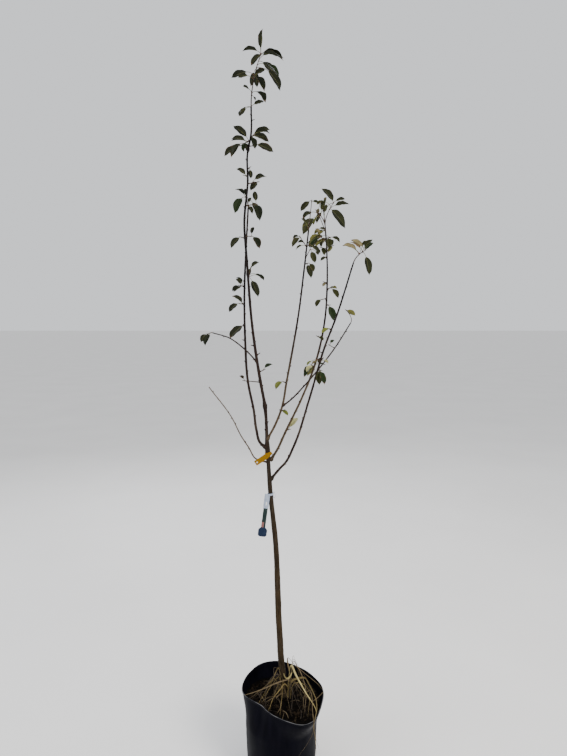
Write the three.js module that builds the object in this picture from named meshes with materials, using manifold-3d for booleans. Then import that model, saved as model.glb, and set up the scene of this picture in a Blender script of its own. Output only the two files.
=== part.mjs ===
// Slim young fruit tree with folded autumn leaves, growing in a thin black nursery pot.
// Millimetres, +Z up. The origin is the centre of the pot's flat underside.
// +X is to the right and +Y away, as seen from the front.
import * as THREE from 'three';
import { mergeVertices } from 'three/addons/utils/BufferGeometryUtils.js';
import Module from 'manifold-3d';

const wasm = await Module();
wasm.setup();

// Fit between neighbouring pieces
const GAP = 0.3;

// Pot: soft thin shell, nearly straight below and flared at a warped mouth
const POT_SIDES = 36;
const POT_WALL = 2.2;
const POT_FLOOR = 3;
const POT_FOOT_RADIUS = 110;
const POT_HEEL_RADIUS = 114;
const POT_BODY_RADIUS = 120;
const POT_MOUTH_RADIUS = 139;
const POT_HEEL_HEIGHT = 16;
const POT_FLARE_START = 176;
const POT_RIM_HEIGHT = 270;
const POT_LIP_DEPTH = 7;
const POT_LIP_ROUND = 1;
const POT_LIP_PROUD = 2.6;
// Each warp of the mouth: bearing and spread in degrees, reach outward and rise in mm
const MOUTH_WARPS = [
  { bearing: 108, spread: 40, out: 17, up: 13 },
  { bearing: -57, spread: 25, out: 22, up: -10 },
  { bearing: -133, spread: 40, out: -38, up: 10 },
];

// Potting mix: its surface lies below the rim and is level round the trunk
const SOIL_HEIGHT = 242;
const SOIL_EDGE_HEIGHT = 236;
const SOIL_CLEARANCE = 0.6;
const SOIL_HEEL_INSET = 4;
const SOIL_RINGS = [0.16, 0.4, 0.66, 0.86, 1];
const SOIL_LEVEL_RINGS = 1;
const SOIL_RELIEF = 3;
const SOIL_WAVES = 5;
const SOIL_WAVE_TURN = 9;

// Heights of the rings that the pot's two skins and the soil share
const POT_LEVELS = [60, POT_FLARE_START, 206, SOIL_EDGE_HEIGHT, 254];

// Trunk and leader: centre line, and radius by height
const TRUNK_SIDES = 8;
const TRUNK_STEP = 42;
const TRUNK_ROUTE = [
  [14, 20, 242.3], [2, 17, 340], [-8, 10, 500], [-20, 2, 800], [-36, 0, 960],
  [-46, 0, 1120], [-53, 0, 1243], [-67, 2, 1321], [-92, 10, 1490], [-109, 20, 1700],
  [-117, 24, 1827], [-106, 28, 1950], [-106, 30, 2040], [-95, 30, 2095], [-94, 30, 2178],
];
const TRUNK_GIRTH = [[242, 11.4], [600, 10.2], [1000, 7.4], [1150, 5.4], [1500, 3.7], [2178, 2.1]];
const ROOT_FLARE = 4.6;
const ROOT_FLARE_HEIGHT = 26;
// Extra sections low in the flare, as shares of one step
const ROOT_FLARE_SHARES = [0.25, 0.6];
// Swellings at the head where the boughs leave and at the healed heading cut above it:
// height, extra radius and spread in mm
const TRUNK_SWELLINGS = [[1104, 2.4, 26], [1243, 2.6, 13]];

// Boughs: centre line, radius at each end, and the limb that each one leaves
const BOUGH_SIDES = 6;
const BOUGH_STEP = 38;
const BOUGH_TAPER = 0.8;
const BOUGHS = [
  { name: 'bough_left', from: 'trunk', radius: [4.6, 2.1], route: [
    [-47, 0, 1106], [-69, 4, 1123], [-81, 10, 1163], [-90, 17, 1228], [-107, 24, 1309],
    [-118, 36, 1467], [-120, 45, 1583], [-110, 58, 1823], [-107, 60, 1877]] },
  { name: 'bough_low_left', from: 'trunk', radius: [2.7, 1.2], route: [
    [-37, 0, 1057], [-85, 2, 1072], [-104, -10, 1108], [-128, -26, 1151],
    [-154, -44, 1210], [-220, -88, 1314]] },
  { name: 'bough_mid_left', from: 'trunk', radius: [2.2, 1.1], route: [
    [-76, 5, 1381], [-98, -8, 1408], [-120, -18, 1430], [-162, -36, 1462], [-211, -52, 1478]] },
  { name: 'bough_inner', from: 'trunk', radius: [4, 1.7], route: [
    [-47, 0, 1132], [-20, -6, 1183], [2, -8, 1241], [16, -10, 1319], [54, -18, 1537],
    [74, -23, 1703], [84, -26, 1793]] },
  { name: 'bough_cross', from: 'bough_inner', radius: [2.6, 1.4], route: [
    [3, -8, 1244], [27, -7, 1262], [74, -4, 1310], [104, 0, 1344], [175, 28, 1432], [226, 55, 1509]] },
  { name: 'bough_right_back', from: 'trunk', radius: [4.3, 1.7], route: [
    [-37, 0, 1063], [-14, 9, 1098], [10, 16, 1149], [68, 29, 1269], [106, 38, 1364],
    [143, 60, 1526], [150, 74, 1633], [149, 88, 1748], [144, 96, 1824]] },
  { name: 'bough_right_front', from: 'trunk', radius: [4.5, 1.8], route: [
    [-37, 0, 1000], [-4, -12, 1043], [12, -17, 1061], [39, -27, 1117], [88, -43, 1273],
    [135, -58, 1439], [166, -68, 1523], [215, -90, 1686]] },
];

// Short stubs left by pruning: limb, height, bearing in degrees, length and radius
const STUB_SIDES = 5;
const STUB_TAPER = 0.8;
const STUB_TURN = 12;
const STUBS = [
  ['trunk', 1405, 35, 11, 1.9], ['trunk', 1436, 170, 9, 1.8], ['trunk', 2138, 20, 9, 1.2],
  ['bough_right_front', 1415, 150, 9, 1.4], ['bough_left', 1452, 160, 8, 1.5],
];

// Stems that carry the leaves
const STEM_SIDES = 5;
const STEM_STEP = 30;
const TIP_STEM_STEPS = 4;
const STEM_BEND = 0.45;
const STEM_SHARE = 0.8;
const STEM_WIDEST = 2;
const STEM_TIP_RADIUS = 1;
const STEM_BARE = 2;

// Leaf stalks: share of the leaf's length, limits, upward reach, bend and radius
const STALK_SHARE = 0.32;
const STALK_LIMITS = [8, 24];
const STALK_RISE = 0.45;
const STALK_BEND = 0.45;
const STALK_RADIUS = 1.1;
const STALK_END_RADIUS = 0.88;

// Leaf blades: ranges in degrees for the seeded rule, then the blade's shape
const LEAF_TURN = [10, 36];
const LEAF_DROOP = [10, 34];
const LEAF_ROLL = [-32, 32];
const LEAF_FOLD = [18, 42];
// Half width at the belly: a least width in mm and a share of the length
const LEAF_HALF_WIDTH = 3.5;
const LEAF_WIDTH_SHARE = 0.15;
const LEAF_BELLY = 0.85;
const LEAF_STATIONS = [0.15, 0.46, 0.8];
// Rib above and below the blade's own line, in mm
const LEAF_RIB = [0.4, 1];
// A leaf keeps this clear of every limb, measured at these shares of its length
const LEAF_CLEARANCE = 1.6;
const LEAF_PROBES = [0.2, 0.5, 0.8, 1];
// A leaf steeper than this turns its blade to the front
const STEEP = 0.97;

// The photograph's viewpoint in mm
const EYE = [6.7, -1752, 1493];

// Masses of leaves. Each grows on one stem, which leaves its limb at the height given, or goes on
// from its tip. Bearings are degrees from +X towards +Z as seen from the front. A leaf is the place
// of its stalk along the stem in mm, then its bearing and its length in mm as seen from the viewpoint,
// and the length of its stalk in mm where that isn't the usual share.
const TIP = 'tip';
const MASSES = [
  { name: 'leaves_top', limb: 'trunk', at: TIP, bearing: 79, length: 160, seed: 127, leaves: [
    [160, 85, 58], [160, 180, 46], [156, -15, 66, 12], [156, -130, 38, 6], [130, -40, 62],
    [98, -160, 51, 34], [88, -170, 31, 22], [120, -90, 45], [96, 25, 30], [123, -55, 71, 38],
    [95, -55, 51, 6], [46, 155, 21, 17], [46, -45, 45], [39, -65, 13], [0, -135, 33, 18]] },
  { name: 'leaves_upper_left', limb: 'trunk', at: 2078, bearing: -152, length: 32, seed: 117, leaves: [
    [2, 140, 54, 14], [7, 180, 44, 9], [20, -125, 51, 14], [32, -145, 52, 12], [11, -105, 28, 6]] },
  { name: 'leaves_upper_right', limb: 'trunk', at: 2086, bearing: 35, length: 12, seed: 100, leaves: [
    [4, 15, 54, 11], [11, 0, 40], [3, -15, 49, 8], [3, -80, 36, 9]] },
  { name: 'leaves_upper_low', limb: 'trunk', at: 2060, bearing: 5, length: 12, seed: 18, leaves: [
    [9, -25, 57]] },
  { name: 'leaves_high_left', limb: 'trunk', at: 1968, bearing: 165, length: 9, seed: 57, leaves: [
    [3, 145, 33, 5]] },
  { name: 'leaves_high_middle', limb: 'trunk', at: 1990, bearing: 35, length: 8, seed: 4, leaves: [
    [5, -85, 27]] },
  { name: 'leaves_high_right', limb: 'trunk', at: 1945, bearing: 10, length: 32, seed: 79, leaves: [
    [13, 15, 38], [31, -130, 33, 5]] },
  { name: 'leaves_left_tip', limb: 'bough_left', at: TIP, bearing: 104, length: 35, seed: 80, leaves: [
    [30, 150, 32, 19], [35, -120, 52], [29, 95, 25, 11], [11, 60, 18]] },
  { name: 'leaves_mid_right', limb: 'trunk', at: 1877, bearing: 8, length: 32, seed: 71, leaves: [
    [31, 100, 31], [9, -35, 31], [25, -75, 49], [2, -60, 26]] },
  { name: 'leaves_mid_left', limb: 'trunk', at: 1776, bearing: 165, length: 12, seed: 16, leaves: [
    [8, -130, 43, 11]] },
  { name: 'leaves_lower_right', limb: 'trunk', at: 1782, bearing: 0, length: 19, seed: 138, leaves: [
    [18, 75, 23], [14, -55, 41]] },
  { name: 'leaves_olive_right', limb: 'trunk', at: 1648, bearing: 76, length: 35, seed: 19, leaves: [
    [27, 40, 28], [35, -100, 32], [11, -35, 29, 20], [2, -70, 56]] },
  { name: 'leaves_left_upper', limb: 'bough_left', at: 1626, bearing: 165, length: 14, seed: 55, leaves: [
    [8, 130, 25, 5], [12, -135, 26]] },
  { name: 'leaves_left_middle', limb: 'bough_left', at: 1570, bearing: 175, length: 12, seed: 157,
    leaves: [[4, 145, 37, 6], [11, -135, 38]] },
  { name: 'leaves_left_lower', limb: 'bough_left', at: 1500, bearing: 180, length: 8, seed: 76, leaves: [
    [2, -135, 58, 6]] },
  { name: 'leaves_low_right', limb: 'trunk', at: 1352, bearing: 25, length: 15, seed: 16, leaves: [
    [11, 25, 28]] },
  { name: 'twig_low_left', limb: 'trunk', at: 1320, bearing: 175, length: 50, seed: 122, leaves: [
    [47, 144, 17]] },
  { name: 'leaves_mid_left_tip', limb: 'bough_mid_left', at: TIP, bearing: -165, length: 18, seed: 21,
    leaves: [[3, -115, 38], [17, -120, 28]] },
  { name: 'leaves_inner_tip', limb: 'bough_inner', at: TIP, bearing: 84, length: 88, seed: 158, leaves: [
    [88, -130, 40, 10], [86, -25, 26, 3]] },
  { name: 'leaves_inner_left', limb: 'bough_inner', at: 1742, bearing: 124, length: 36, seed: 114,
    leaves: [[36, -160, 21, 4], [32, -125, 35, 8], [14, 180, 18, 3], [2, -145, 23, 14]] },
  { name: 'leaves_inner_high', limb: 'bough_inner', at: 1744, bearing: 25, length: 8, seed: 61, leaves: [
    [5, 45, 34], [6, -45, 35]] },
  { name: 'leaves_inner_right', limb: 'bough_inner', at: 1708, bearing: 62, length: 28, seed: 13,
    leaves: [[28, -75, 36]] },
  { name: 'leaves_inner_mid', limb: 'bough_inner', at: 1690, bearing: 15, length: 8, seed: 64, leaves: [
    [4, -75, 42, 8], [8, -65, 26, 15]] },
  { name: 'leaves_back_tip', limb: 'bough_right_back', at: TIP, bearing: 71, length: 82, seed: 31,
    leaves: [[82, 130, 55, 6], [80, 10, 32, 13], [60, 5, 48, 24], [62, -50, 75, 10], [70, 180, 22, 26],
    [82, -120, 30, 22]] },
  { name: 'leaves_back_left', limb: 'bough_right_back', at: 1808, bearing: 112, length: 62, seed: 11,
    leaves: [[56, -120, 35, 4], [60, -150, 38, 28], [50, -125, 62, 34], [2, -145, 24, 8]] },
  { name: 'leaves_back_middle', limb: 'bough_right_back', at: 1780, bearing: 150, length: 20, seed: 70,
    leaves: [[7, -105, 24], [19, -130, 42]] },
  { name: 'leaves_back_right', limb: 'bough_right_back', at: 1787, bearing: 10, length: 12, seed: 38,
    leaves: [[9, -30, 32], [5, -85, 36], [8, -75, 20, 20]] },
  { name: 'leaves_back_mid_left', limb: 'bough_right_back', at: 1752, bearing: 165, length: 18, seed: 33,
    leaves: [[17, -70, 24]] },
  { name: 'leaves_back_low_left', limb: 'bough_right_back', at: 1590, bearing: -165, length: 12, seed: 59,
    leaves: [[11, -125, 28]] },
  { name: 'leaves_back_low_right', limb: 'bough_right_back', at: 1620, bearing: 20, length: 11, seed: 60,
    leaves: [[10, -15, 18, 5], [6, -55, 36]] },
  { name: 'leaves_back_hanging', limb: 'bough_right_back', at: 1568, bearing: 0, length: 9, seed: 13,
    leaves: [[3, -70, 55, 9]] },
  { name: 'leaves_front_tip', limb: 'bough_right_front', at: TIP, bearing: 47, length: 50, seed: 37,
    leaves: [[31, 155, 37, 15], [43, 150, 38], [42, 45, 33, 15], [43, -80, 57, 27]] },
  { name: 'leaves_cross_tip', limb: 'bough_cross', at: TIP, bearing: 110, length: 45, seed: 120, leaves: [
    [44, -35, 32, 4]] },
  { name: 'leaves_inner_fork', limb: 'bough_inner', at: 1228, bearing: 20, length: 8, seed: 77, leaves: [
    [2, -45, 23, 3]] },
  { name: 'leaves_inner_low', limb: 'bough_inner', at: 1319, bearing: 160, length: 9, seed: 79, leaves: [
    [6, -130, 31]] },
  { name: 'leaves_back_foot', limb: 'bough_right_back', at: 1162, bearing: 10, length: 7, seed: 117,
    leaves: [[4, 50, 42, 9]] },
  { name: 'leaves_front_hanging', limb: 'bough_right_front', at: 1364, bearing: -10, length: 8, seed: 11,
    leaves: [[3, -75, 42, 9]] },
  { name: 'leaves_back_crossing', limb: 'bough_right_back', at: 1366, bearing: 140, length: 8, seed: 123,
    leaves: [[2, -135, 28, 4], [2, -120, 34, 17]] },
  { name: 'leaves_back_upper', limb: 'bough_right_back', at: 1458, bearing: 150, length: 14, seed: 76,
    leaves: [[13, -45, 19]] },
  { name: 'leaves_front_upper', limb: 'bough_right_front', at: 1488, bearing: 160, length: 8, seed: 59,
    leaves: [[3, -150, 26, 4]] },
  { name: 'leaves_cross_mid', limb: 'bough_cross', at: 1428, bearing: 150, length: 18, seed: 16, leaves: [
    [17, 40, 16]] },
];

// Blank hanging tag: a band round the trunk, a loop's end beside it and a strip hanging in front
const TAG_HEIGHT = 954;
const TAG_CLEARANCE = 0.8;
const TAG_THICKNESS = 1.2;
const TAG_BAND = 6;
const TAG_LEAN = 13;
const TAG_SHIFT = 10;
// Half widths of the strip at heights below its top, in mm
const TAG_HALF_OUTLINE = [
  [8.5, 4], [8.5, -39], [7, -48], [7, -108], [14.5, -117], [14.5, -136], [10.5, -140],
];
const TAG_SLOT = { width: 3, height: 11, drop: 28 };
const TAG_LOOP = { width: 6, height: 19, drop: 4, wall: 1.2, overlap: 0.4 };

// Blank yellow label: a flat strip on a band, across the front of the trunk
const LABEL_HEIGHT = 1088;
const LABEL_CLEARANCE = 0.9;
const LABEL_LENGTH = 64;
const LABEL_WIDTH = 17;
const LABEL_THICKNESS = 1;
const LABEL_BAND = 8;
const LABEL_SLOPE = 31;
const LABEL_CENTRE = [-14, -12];
const LABEL_HOLE = { radius: 2.4, inset: 7 };

const BAND_SIDES = 16;
const HOLE_SIDES = 6;

// Small helpers
const vec = (x, y, z) => new THREE.Vector3(x, y, z);
const mix = (a, b, t) => a + (b - a) * t;
const clamp = (v, low, high) => Math.min(high, Math.max(low, v));
const radians = (degrees) => (degrees * Math.PI) / 180;
const smooth = (t) => t * t * (3 - 2 * t);

// Repeatable random numbers from 0 to 1
function chance(seed) {
  let state = Math.imul(seed, 2654435761) >>> 0;
  return () => {
    state = (Math.imul(state, 1664525) + 1013904223) >>> 0;
    return state / 4294967296;
  };
}

// Value at x on a line through [x, value] pairs
function along(pairs, x) {
  for (let i = 1; i < pairs.length; i += 1) {
    if (x <= pairs[i][0]) {
      const t = clamp((x - pairs[i - 1][0]) / (pairs[i][0] - pairs[i - 1][0]), 0, 1);
      return mix(pairs[i - 1][1], pairs[i][1], t);
    }
  }
  return pairs[pairs.length - 1][1];
}

// Closed mesh from points and triangles, turned so that its faces point out
function closedGeometry(points, triangles) {
  let volume = 0;
  for (const [a, b, c] of triangles) {
    volume += points[a].dot(vec(0, 0, 0).crossVectors(points[b], points[c]));
  }
  const faces = volume < 0 ? triangles.map(([a, b, c]) => [a, c, b]) : triangles;
  const places = points.flatMap((p) => p.toArray());
  const geometry = new THREE.BufferGeometry();
  geometry.setAttribute('position', new THREE.Float32BufferAttribute(places, 3));
  geometry.setIndex(faces.flat());
  return geometry;
}

// three.js geometry to a solid that can be joined and cut, and back
function toSolid(geometry) {
  const bare = geometry.clone();
  bare.deleteAttribute('normal');
  bare.deleteAttribute('uv');
  const merged = mergeVertices(bare, 1e-4);
  return new wasm.Manifold(new wasm.Mesh({
    numProp: 3,
    vertProperties: new Float32Array(merged.attributes.position.array),
    triVerts: new Uint32Array(merged.index.array),
  }));
}

function toGeometry(solid) {
  const mesh = solid.getMesh();
  const geometry = new THREE.BufferGeometry();
  geometry.setAttribute('position', new THREE.Float32BufferAttribute(mesh.vertProperties, 3));
  geometry.setIndex([...mesh.triVerts]);
  geometry.computeVertexNormals();
  return geometry;
}

// The largest piece of a cut solid, without the scraps
function largest(solid) {
  return solid.decompose().sort((a, b) => b.volume() - a.volume())[0];
}

// Smooth line through route points, with a slope at each point from its neighbours
function smoothLine(route) {
  const points = route.map((p) => vec(...p));
  const spans = points.slice(1).map((p, i) => p.distanceTo(points[i]));
  const slopes = points.map((p, i) => {
    if (i === 0) return points[1].clone().sub(p).divideScalar(spans[0]);
    if (i === points.length - 1) return p.clone().sub(points[i - 1]).divideScalar(spans[i - 1]);
    const before = p.clone().sub(points[i - 1]).multiplyScalar(spans[i] / spans[i - 1]);
    const after = points[i + 1].clone().sub(p).multiplyScalar(spans[i - 1] / spans[i]);
    return before.add(after).divideScalar(spans[i - 1] + spans[i]);
  });
  const total = spans.reduce((sum, span) => sum + span, 0);
  const at = (share) => {
    let rest = share * total;
    let i = 0;
    while (i < spans.length - 1 && rest > spans[i]) {
      rest -= spans[i];
      i += 1;
    }
    const t = rest / spans[i];
    const t2 = t * t;
    const t3 = t2 * t;
    return points[i].clone().multiplyScalar(2 * t3 - 3 * t2 + 1)
      .addScaledVector(slopes[i], (t3 - 2 * t2 + t) * spans[i])
      .addScaledVector(points[i + 1], 3 * t2 - 2 * t3)
      .addScaledVector(slopes[i + 1], (t3 - t2) * spans[i]);
  };
  return { at, total };
}

// Closed tapering tube round a list of centres, with flat ends
function tube(centres, radii, sides, levelFoot = false) {
  const points = [];
  const triangles = [];
  let across = vec(1, 0, 0);
  centres.forEach((centre, k) => {
    const ahead = centres[Math.min(k + 1, centres.length - 1)].clone();
    const direction = ahead.sub(centres[Math.max(k - 1, 0)]).normalize();
    if (k === 0 && levelFoot) direction.set(0, 0, 1);
    if (k === 0 && Math.abs(direction.x) > Math.abs(direction.z)) across = vec(0, 0, 1);
    across.addScaledVector(direction, -across.dot(direction)).normalize();
    const beside = direction.clone().cross(across);
    for (let s = 0; s < sides; s += 1) {
      const angle = (2 * Math.PI * s) / sides;
      points.push(centre.clone()
        .addScaledVector(across, radii[k] * Math.cos(angle))
        .addScaledVector(beside, radii[k] * Math.sin(angle)));
    }
  });
  for (let k = 0; k + 1 < centres.length; k += 1) {
    for (let s = 0; s < sides; s += 1) {
      const a = k * sides + s;
      const b = k * sides + ((s + 1) % sides);
      triangles.push([a, b, b + sides], [a, b + sides, a + sides]);
    }
  }
  const top = (centres.length - 1) * sides;
  for (let s = 1; s + 1 < sides; s += 1) {
    triangles.push([0, s + 1, s], [top, top + s, top + s + 1]);
  }
  return closedGeometry(points, triangles);
}

// Pot: how far the warps move the mouth at an angle, outward or upward
function warpAt(angle, key) {
  return MOUTH_WARPS.reduce((sum, warp) => {
    const apart = angle - radians(warp.bearing);
    const turn = Math.atan2(Math.sin(apart), Math.cos(apart));
    return sum + warp[key] * Math.exp(-((turn / radians(warp.spread)) ** 2));
  }, 0);
}

// How far the flare has opened at a height, from 0 to 1
function flareAt(height) {
  return smooth(clamp((height - POT_FLARE_START) / (POT_RIM_HEIGHT - POT_FLARE_START), 0, 1));
}

// Outside radius of the pot at an angle and a height
function potRadius(angle, height) {
  const heel = smooth(clamp(height / POT_HEEL_HEIGHT, 0, 1));
  const foot = mix(POT_FOOT_RADIUS, POT_HEEL_RADIUS, heel);
  const body = foot + (POT_BODY_RADIUS - POT_HEEL_RADIUS) * clamp(height / POT_FLARE_START, 0, 1);
  return body + flareAt(height) * (POT_MOUTH_RADIUS - POT_BODY_RADIUS + warpAt(angle, 'out'));
}

// A ring of the pot, lifted and dropped with the warped rim above the flare's start
function potRing(height, inset) {
  return Array.from({ length: POT_SIDES }, (_, s) => {
    const angle = (2 * Math.PI * s) / POT_SIDES;
    const radius = potRadius(angle, height) - inset;
    const z = height + flareAt(height) * warpAt(angle, 'up');
    return vec(radius * Math.cos(angle), radius * Math.sin(angle), z);
  });
}

// Closed mesh from rings of equal count, closed at both ends by a middle point
function ringStack(rings, firstMiddle, lastMiddle) {
  const sides = rings[0].length;
  const points = [...rings.flat(), firstMiddle, lastMiddle];
  const first = rings.length * sides;
  const triangles = [];
  for (let s = 0; s < sides; s += 1) {
    const next = (s + 1) % sides;
    triangles.push([first, next, s]);
    for (let k = 0; k + 1 < rings.length; k += 1) {
      const a = k * sides + s;
      const b = k * sides + next;
      triangles.push([a, b, b + sides], [a, b + sides, a + sides]);
    }
    const top = (rings.length - 1) * sides;
    triangles.push([top + s, top + next, first + 1]);
  }
  return closedGeometry(points, triangles);
}

// Pot: up the outside, over the lip and down the inside
function makePot() {
  const lipFoot = POT_RIM_HEIGHT - POT_LIP_DEPTH;
  const lipShoulder = POT_RIM_HEIGHT - POT_LIP_ROUND;
  const outside = [0, POT_HEEL_HEIGHT, ...POT_LEVELS, lipFoot].map((z) => potRing(z, 0));
  const lip = [lipFoot, lipShoulder].map((z) => potRing(z, -POT_LIP_PROUD));
  const inside = [lipShoulder, ...POT_LEVELS.toReversed(), POT_HEEL_HEIGHT, POT_FLOOR]
    .map((z) => potRing(z, POT_WALL));
  const rings = [...outside, ...lip, potRing(POT_RIM_HEIGHT, 0), ...inside];
  return ringStack(rings, vec(0, 0, 0), vec(0, 0, POT_FLOOR));
}

// Soil: fills the pot to its surface, with rings that spread from the trunk's foot
function makeSoil() {
  const foot = vec(TRUNK_ROUTE[0][0], TRUNK_ROUTE[0][1], SOIL_HEIGHT);
  const inset = POT_WALL + SOIL_CLEARANCE;
  const levels = [POT_HEEL_HEIGHT, ...POT_LEVELS.filter((z) => z < SOIL_EDGE_HEIGHT)].toReversed();
  const walls = levels.map((z) => potRing(z, inset));
  const edge = potRing(SOIL_EDGE_HEIGHT, inset);
  const base = potRing(POT_HEEL_HEIGHT, inset + SOIL_HEEL_INSET);
  base.forEach((p) => p.setZ(POT_FLOOR + GAP));
  const surface = SOIL_RINGS.map((share, ring) => edge.map((p, s) => {
    const angle = (2 * Math.PI * s) / POT_SIDES;
    const wave = Math.sin(SOIL_WAVES * angle + SOIL_WAVE_TURN * share);
    const sloped = mix(SOIL_HEIGHT, p.z, share * share) + SOIL_RELIEF * wave * Math.sin(Math.PI * share);
    const height = ring < SOIL_LEVEL_RINGS ? SOIL_HEIGHT : sloped;
    return vec(mix(foot.x, p.x, share), mix(foot.y, p.y, share), height);
  }));
  return ringStack([...surface, ...walls, base], foot, vec(0, 0, POT_FLOOR + GAP));
}

// Radius of a limb at a place on its centre line
function limbRadius(limb, centre, share) {
  if (limb.name !== 'trunk') return mix(limb.radius[0], limb.radius[1], share ** BOUGH_TAPER);
  const flare = ROOT_FLARE * Math.exp(-(centre.z - TRUNK_ROUTE[0][2]) / ROOT_FLARE_HEIGHT);
  const swelling = TRUNK_SWELLINGS.reduce(
    (sum, [height, out, spread]) => sum + out * Math.exp(-(((centre.z - height) / spread) ** 2)), 0);
  return along(TRUNK_GIRTH, centre.z) + flare + swelling;
}

// Centres and radii of a limb's sections
function limbSections(limb) {
  const line = smoothLine(limb.route);
  const steps = Math.round(line.total / limb.step);
  const shares = Array.from({ length: steps + 1 }, (_, k) => k / steps);
  if (limb.name === 'trunk') shares.splice(1, 0, ...ROOT_FLARE_SHARES.map((share) => share / steps));
  const centres = shares.map((share) => line.at(share));
  const radii = centres.map((centre, k) => limbRadius(limb, centre, shares[k]));
  return { centres, radii };
}

// Solid of a limb, or one grown on all sides and at its tip to cut a fitted gap
function limbSolid(limb, grown = 0) {
  const tip = limb.centres.length - 1;
  const ahead = limb.centres[tip].clone().sub(limb.centres[tip - 1]).normalize();
  const end = limb.centres[tip].clone().addScaledVector(ahead, grown);
  const radii = limb.radii.map((radius) => radius + grown);
  return toSolid(tube([...limb.centres.slice(0, tip), end], radii, limb.sides, limb.name === 'trunk'));
}

// Place, direction and radius on a limb at a height, or at its tip
function placeOnLimb(limb, height) {
  const { centres, radii } = limb;
  const last = centres.length - 1;
  let k = last;
  if (height !== TIP) {
    k = 1;
    while (k < last && centres[k].z < height) k += 1;
  }
  const rise = (height - centres[k - 1].z) / (centres[k].z - centres[k - 1].z);
  const t = height === TIP ? 1 : clamp(rise, 0, 1);
  return {
    point: centres[k - 1].clone().lerp(centres[k], t),
    radius: mix(radii[k - 1], radii[k], t),
    direction: centres[k].clone().sub(centres[k - 1]).normalize(),
  };
}

// Direction from a bearing as seen from the front and a turn in depth
function heading(bearing, turn) {
  const b = radians(bearing);
  const t = radians(turn);
  return vec(Math.cos(b) * Math.cos(t), Math.sin(t), Math.sin(b) * Math.cos(t));
}

// Run from a point to one that is seen at a bearing and a distance from it, once that point has
// moved along the line of sight as far as the turn takes it nearer or farther
function sightedRun(from, bearing, seen, turn) {
  const to = from.clone().addScaledVector(heading(bearing, 0), seen);
  const sight = to.clone().sub(vec(...EYE));
  return to.addScaledVector(sight, (seen * Math.tan(radians(turn))) / sight.y).sub(from);
}

// Stem of a mass: a short curve that leaves its limb and turns to its own bearing
function massStem(mass, limb) {
  const start = placeOnLimb(limb, mass.at);
  const way = heading(mass.bearing, 0);
  const tipped = mass.at === TIP;
  const from = start.point.clone().addScaledVector(way, tipped ? 0 : start.radius);
  const bend = from.clone().addScaledVector(tipped ? start.direction : way, mass.length * STEM_BEND);
  const end = from.clone().addScaledVector(way, mass.length);
  const at = (distance) => {
    const t = distance / mass.length;
    return from.clone().multiplyScalar((1 - t) ** 2)
      .addScaledVector(bend, 2 * t * (1 - t))
      .addScaledVector(end, t * t);
  };
  const base = tipped ? start.radius : Math.min(STEM_WIDEST, start.radius * STEM_SHARE);
  return { at, base, tipped, root: start.point };
}

// One leaf: its blade's frame and arc, worked out from the stem and the leaf's random draws
function growLeaf(stem, [distance, bearing, seen, ownStalk], draws, side) {
  const turn = side * mix(...LEAF_TURN, draws[0]);
  const droop = radians(mix(...LEAF_DROOP, draws[1]));
  const roll = radians(mix(...LEAF_ROLL, draws[2]));
  const fold = radians(mix(...LEAF_FOLD, draws[3]));
  const root = stem.at(stem.tipped ? distance : Math.max(distance, STEM_BARE));
  const run = sightedRun(root, bearing, seen, turn);
  const length = run.length();
  const way = run.normalize();
  const flat = Math.abs(way.z) > STEEP ? vec(0, -1, 0) : vec(way.y, -way.x, 0).normalize();
  const lift = flat.clone().cross(way);
  const enter = way.clone().multiplyScalar(Math.cos(droop / 2)).addScaledVector(lift, Math.sin(droop / 2));
  const stalk = ownStalk ?? clamp(STALK_SHARE * length, ...STALK_LIMITS);
  const reach = enter.clone().add(vec(0, 0, STALK_RISE)).normalize();
  const base = root.clone().addScaledVector(reach, stalk);
  const bend = base.clone().addScaledVector(enter, -stalk * STALK_BEND);
  const across = flat.clone().multiplyScalar(Math.cos(roll)).addScaledVector(lift, Math.sin(roll));
  const up = across.clone().cross(way);
  const arc = (s) => base.clone().addScaledVector(way, length * s)
    .addScaledVector(lift, length * Math.tan(droop / 2) * s * (1 - s));
  return { root, base, bend, arc, across, up, fold, length };
}

function leafHalfWidth(length, s) {
  const belly = LEAF_HALF_WIDTH + LEAF_WIDTH_SHARE * length;
  return belly * Math.sin(Math.PI * s ** LEAF_BELLY) ** LEAF_BELLY;
}

// Left edge, right edge and rib of the blade at a share of its length
function bladeSection(leaf, s) {
  const rib = leaf.arc(s);
  const half = leafHalfWidth(leaf.length, s);
  const out = leaf.across.clone().multiplyScalar(half * Math.cos(leaf.fold));
  const raised = rib.clone().addScaledVector(leaf.up, half * Math.sin(leaf.fold));
  return { rib, left: raised.clone().add(out), right: raised.clone().sub(out) };
}

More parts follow.
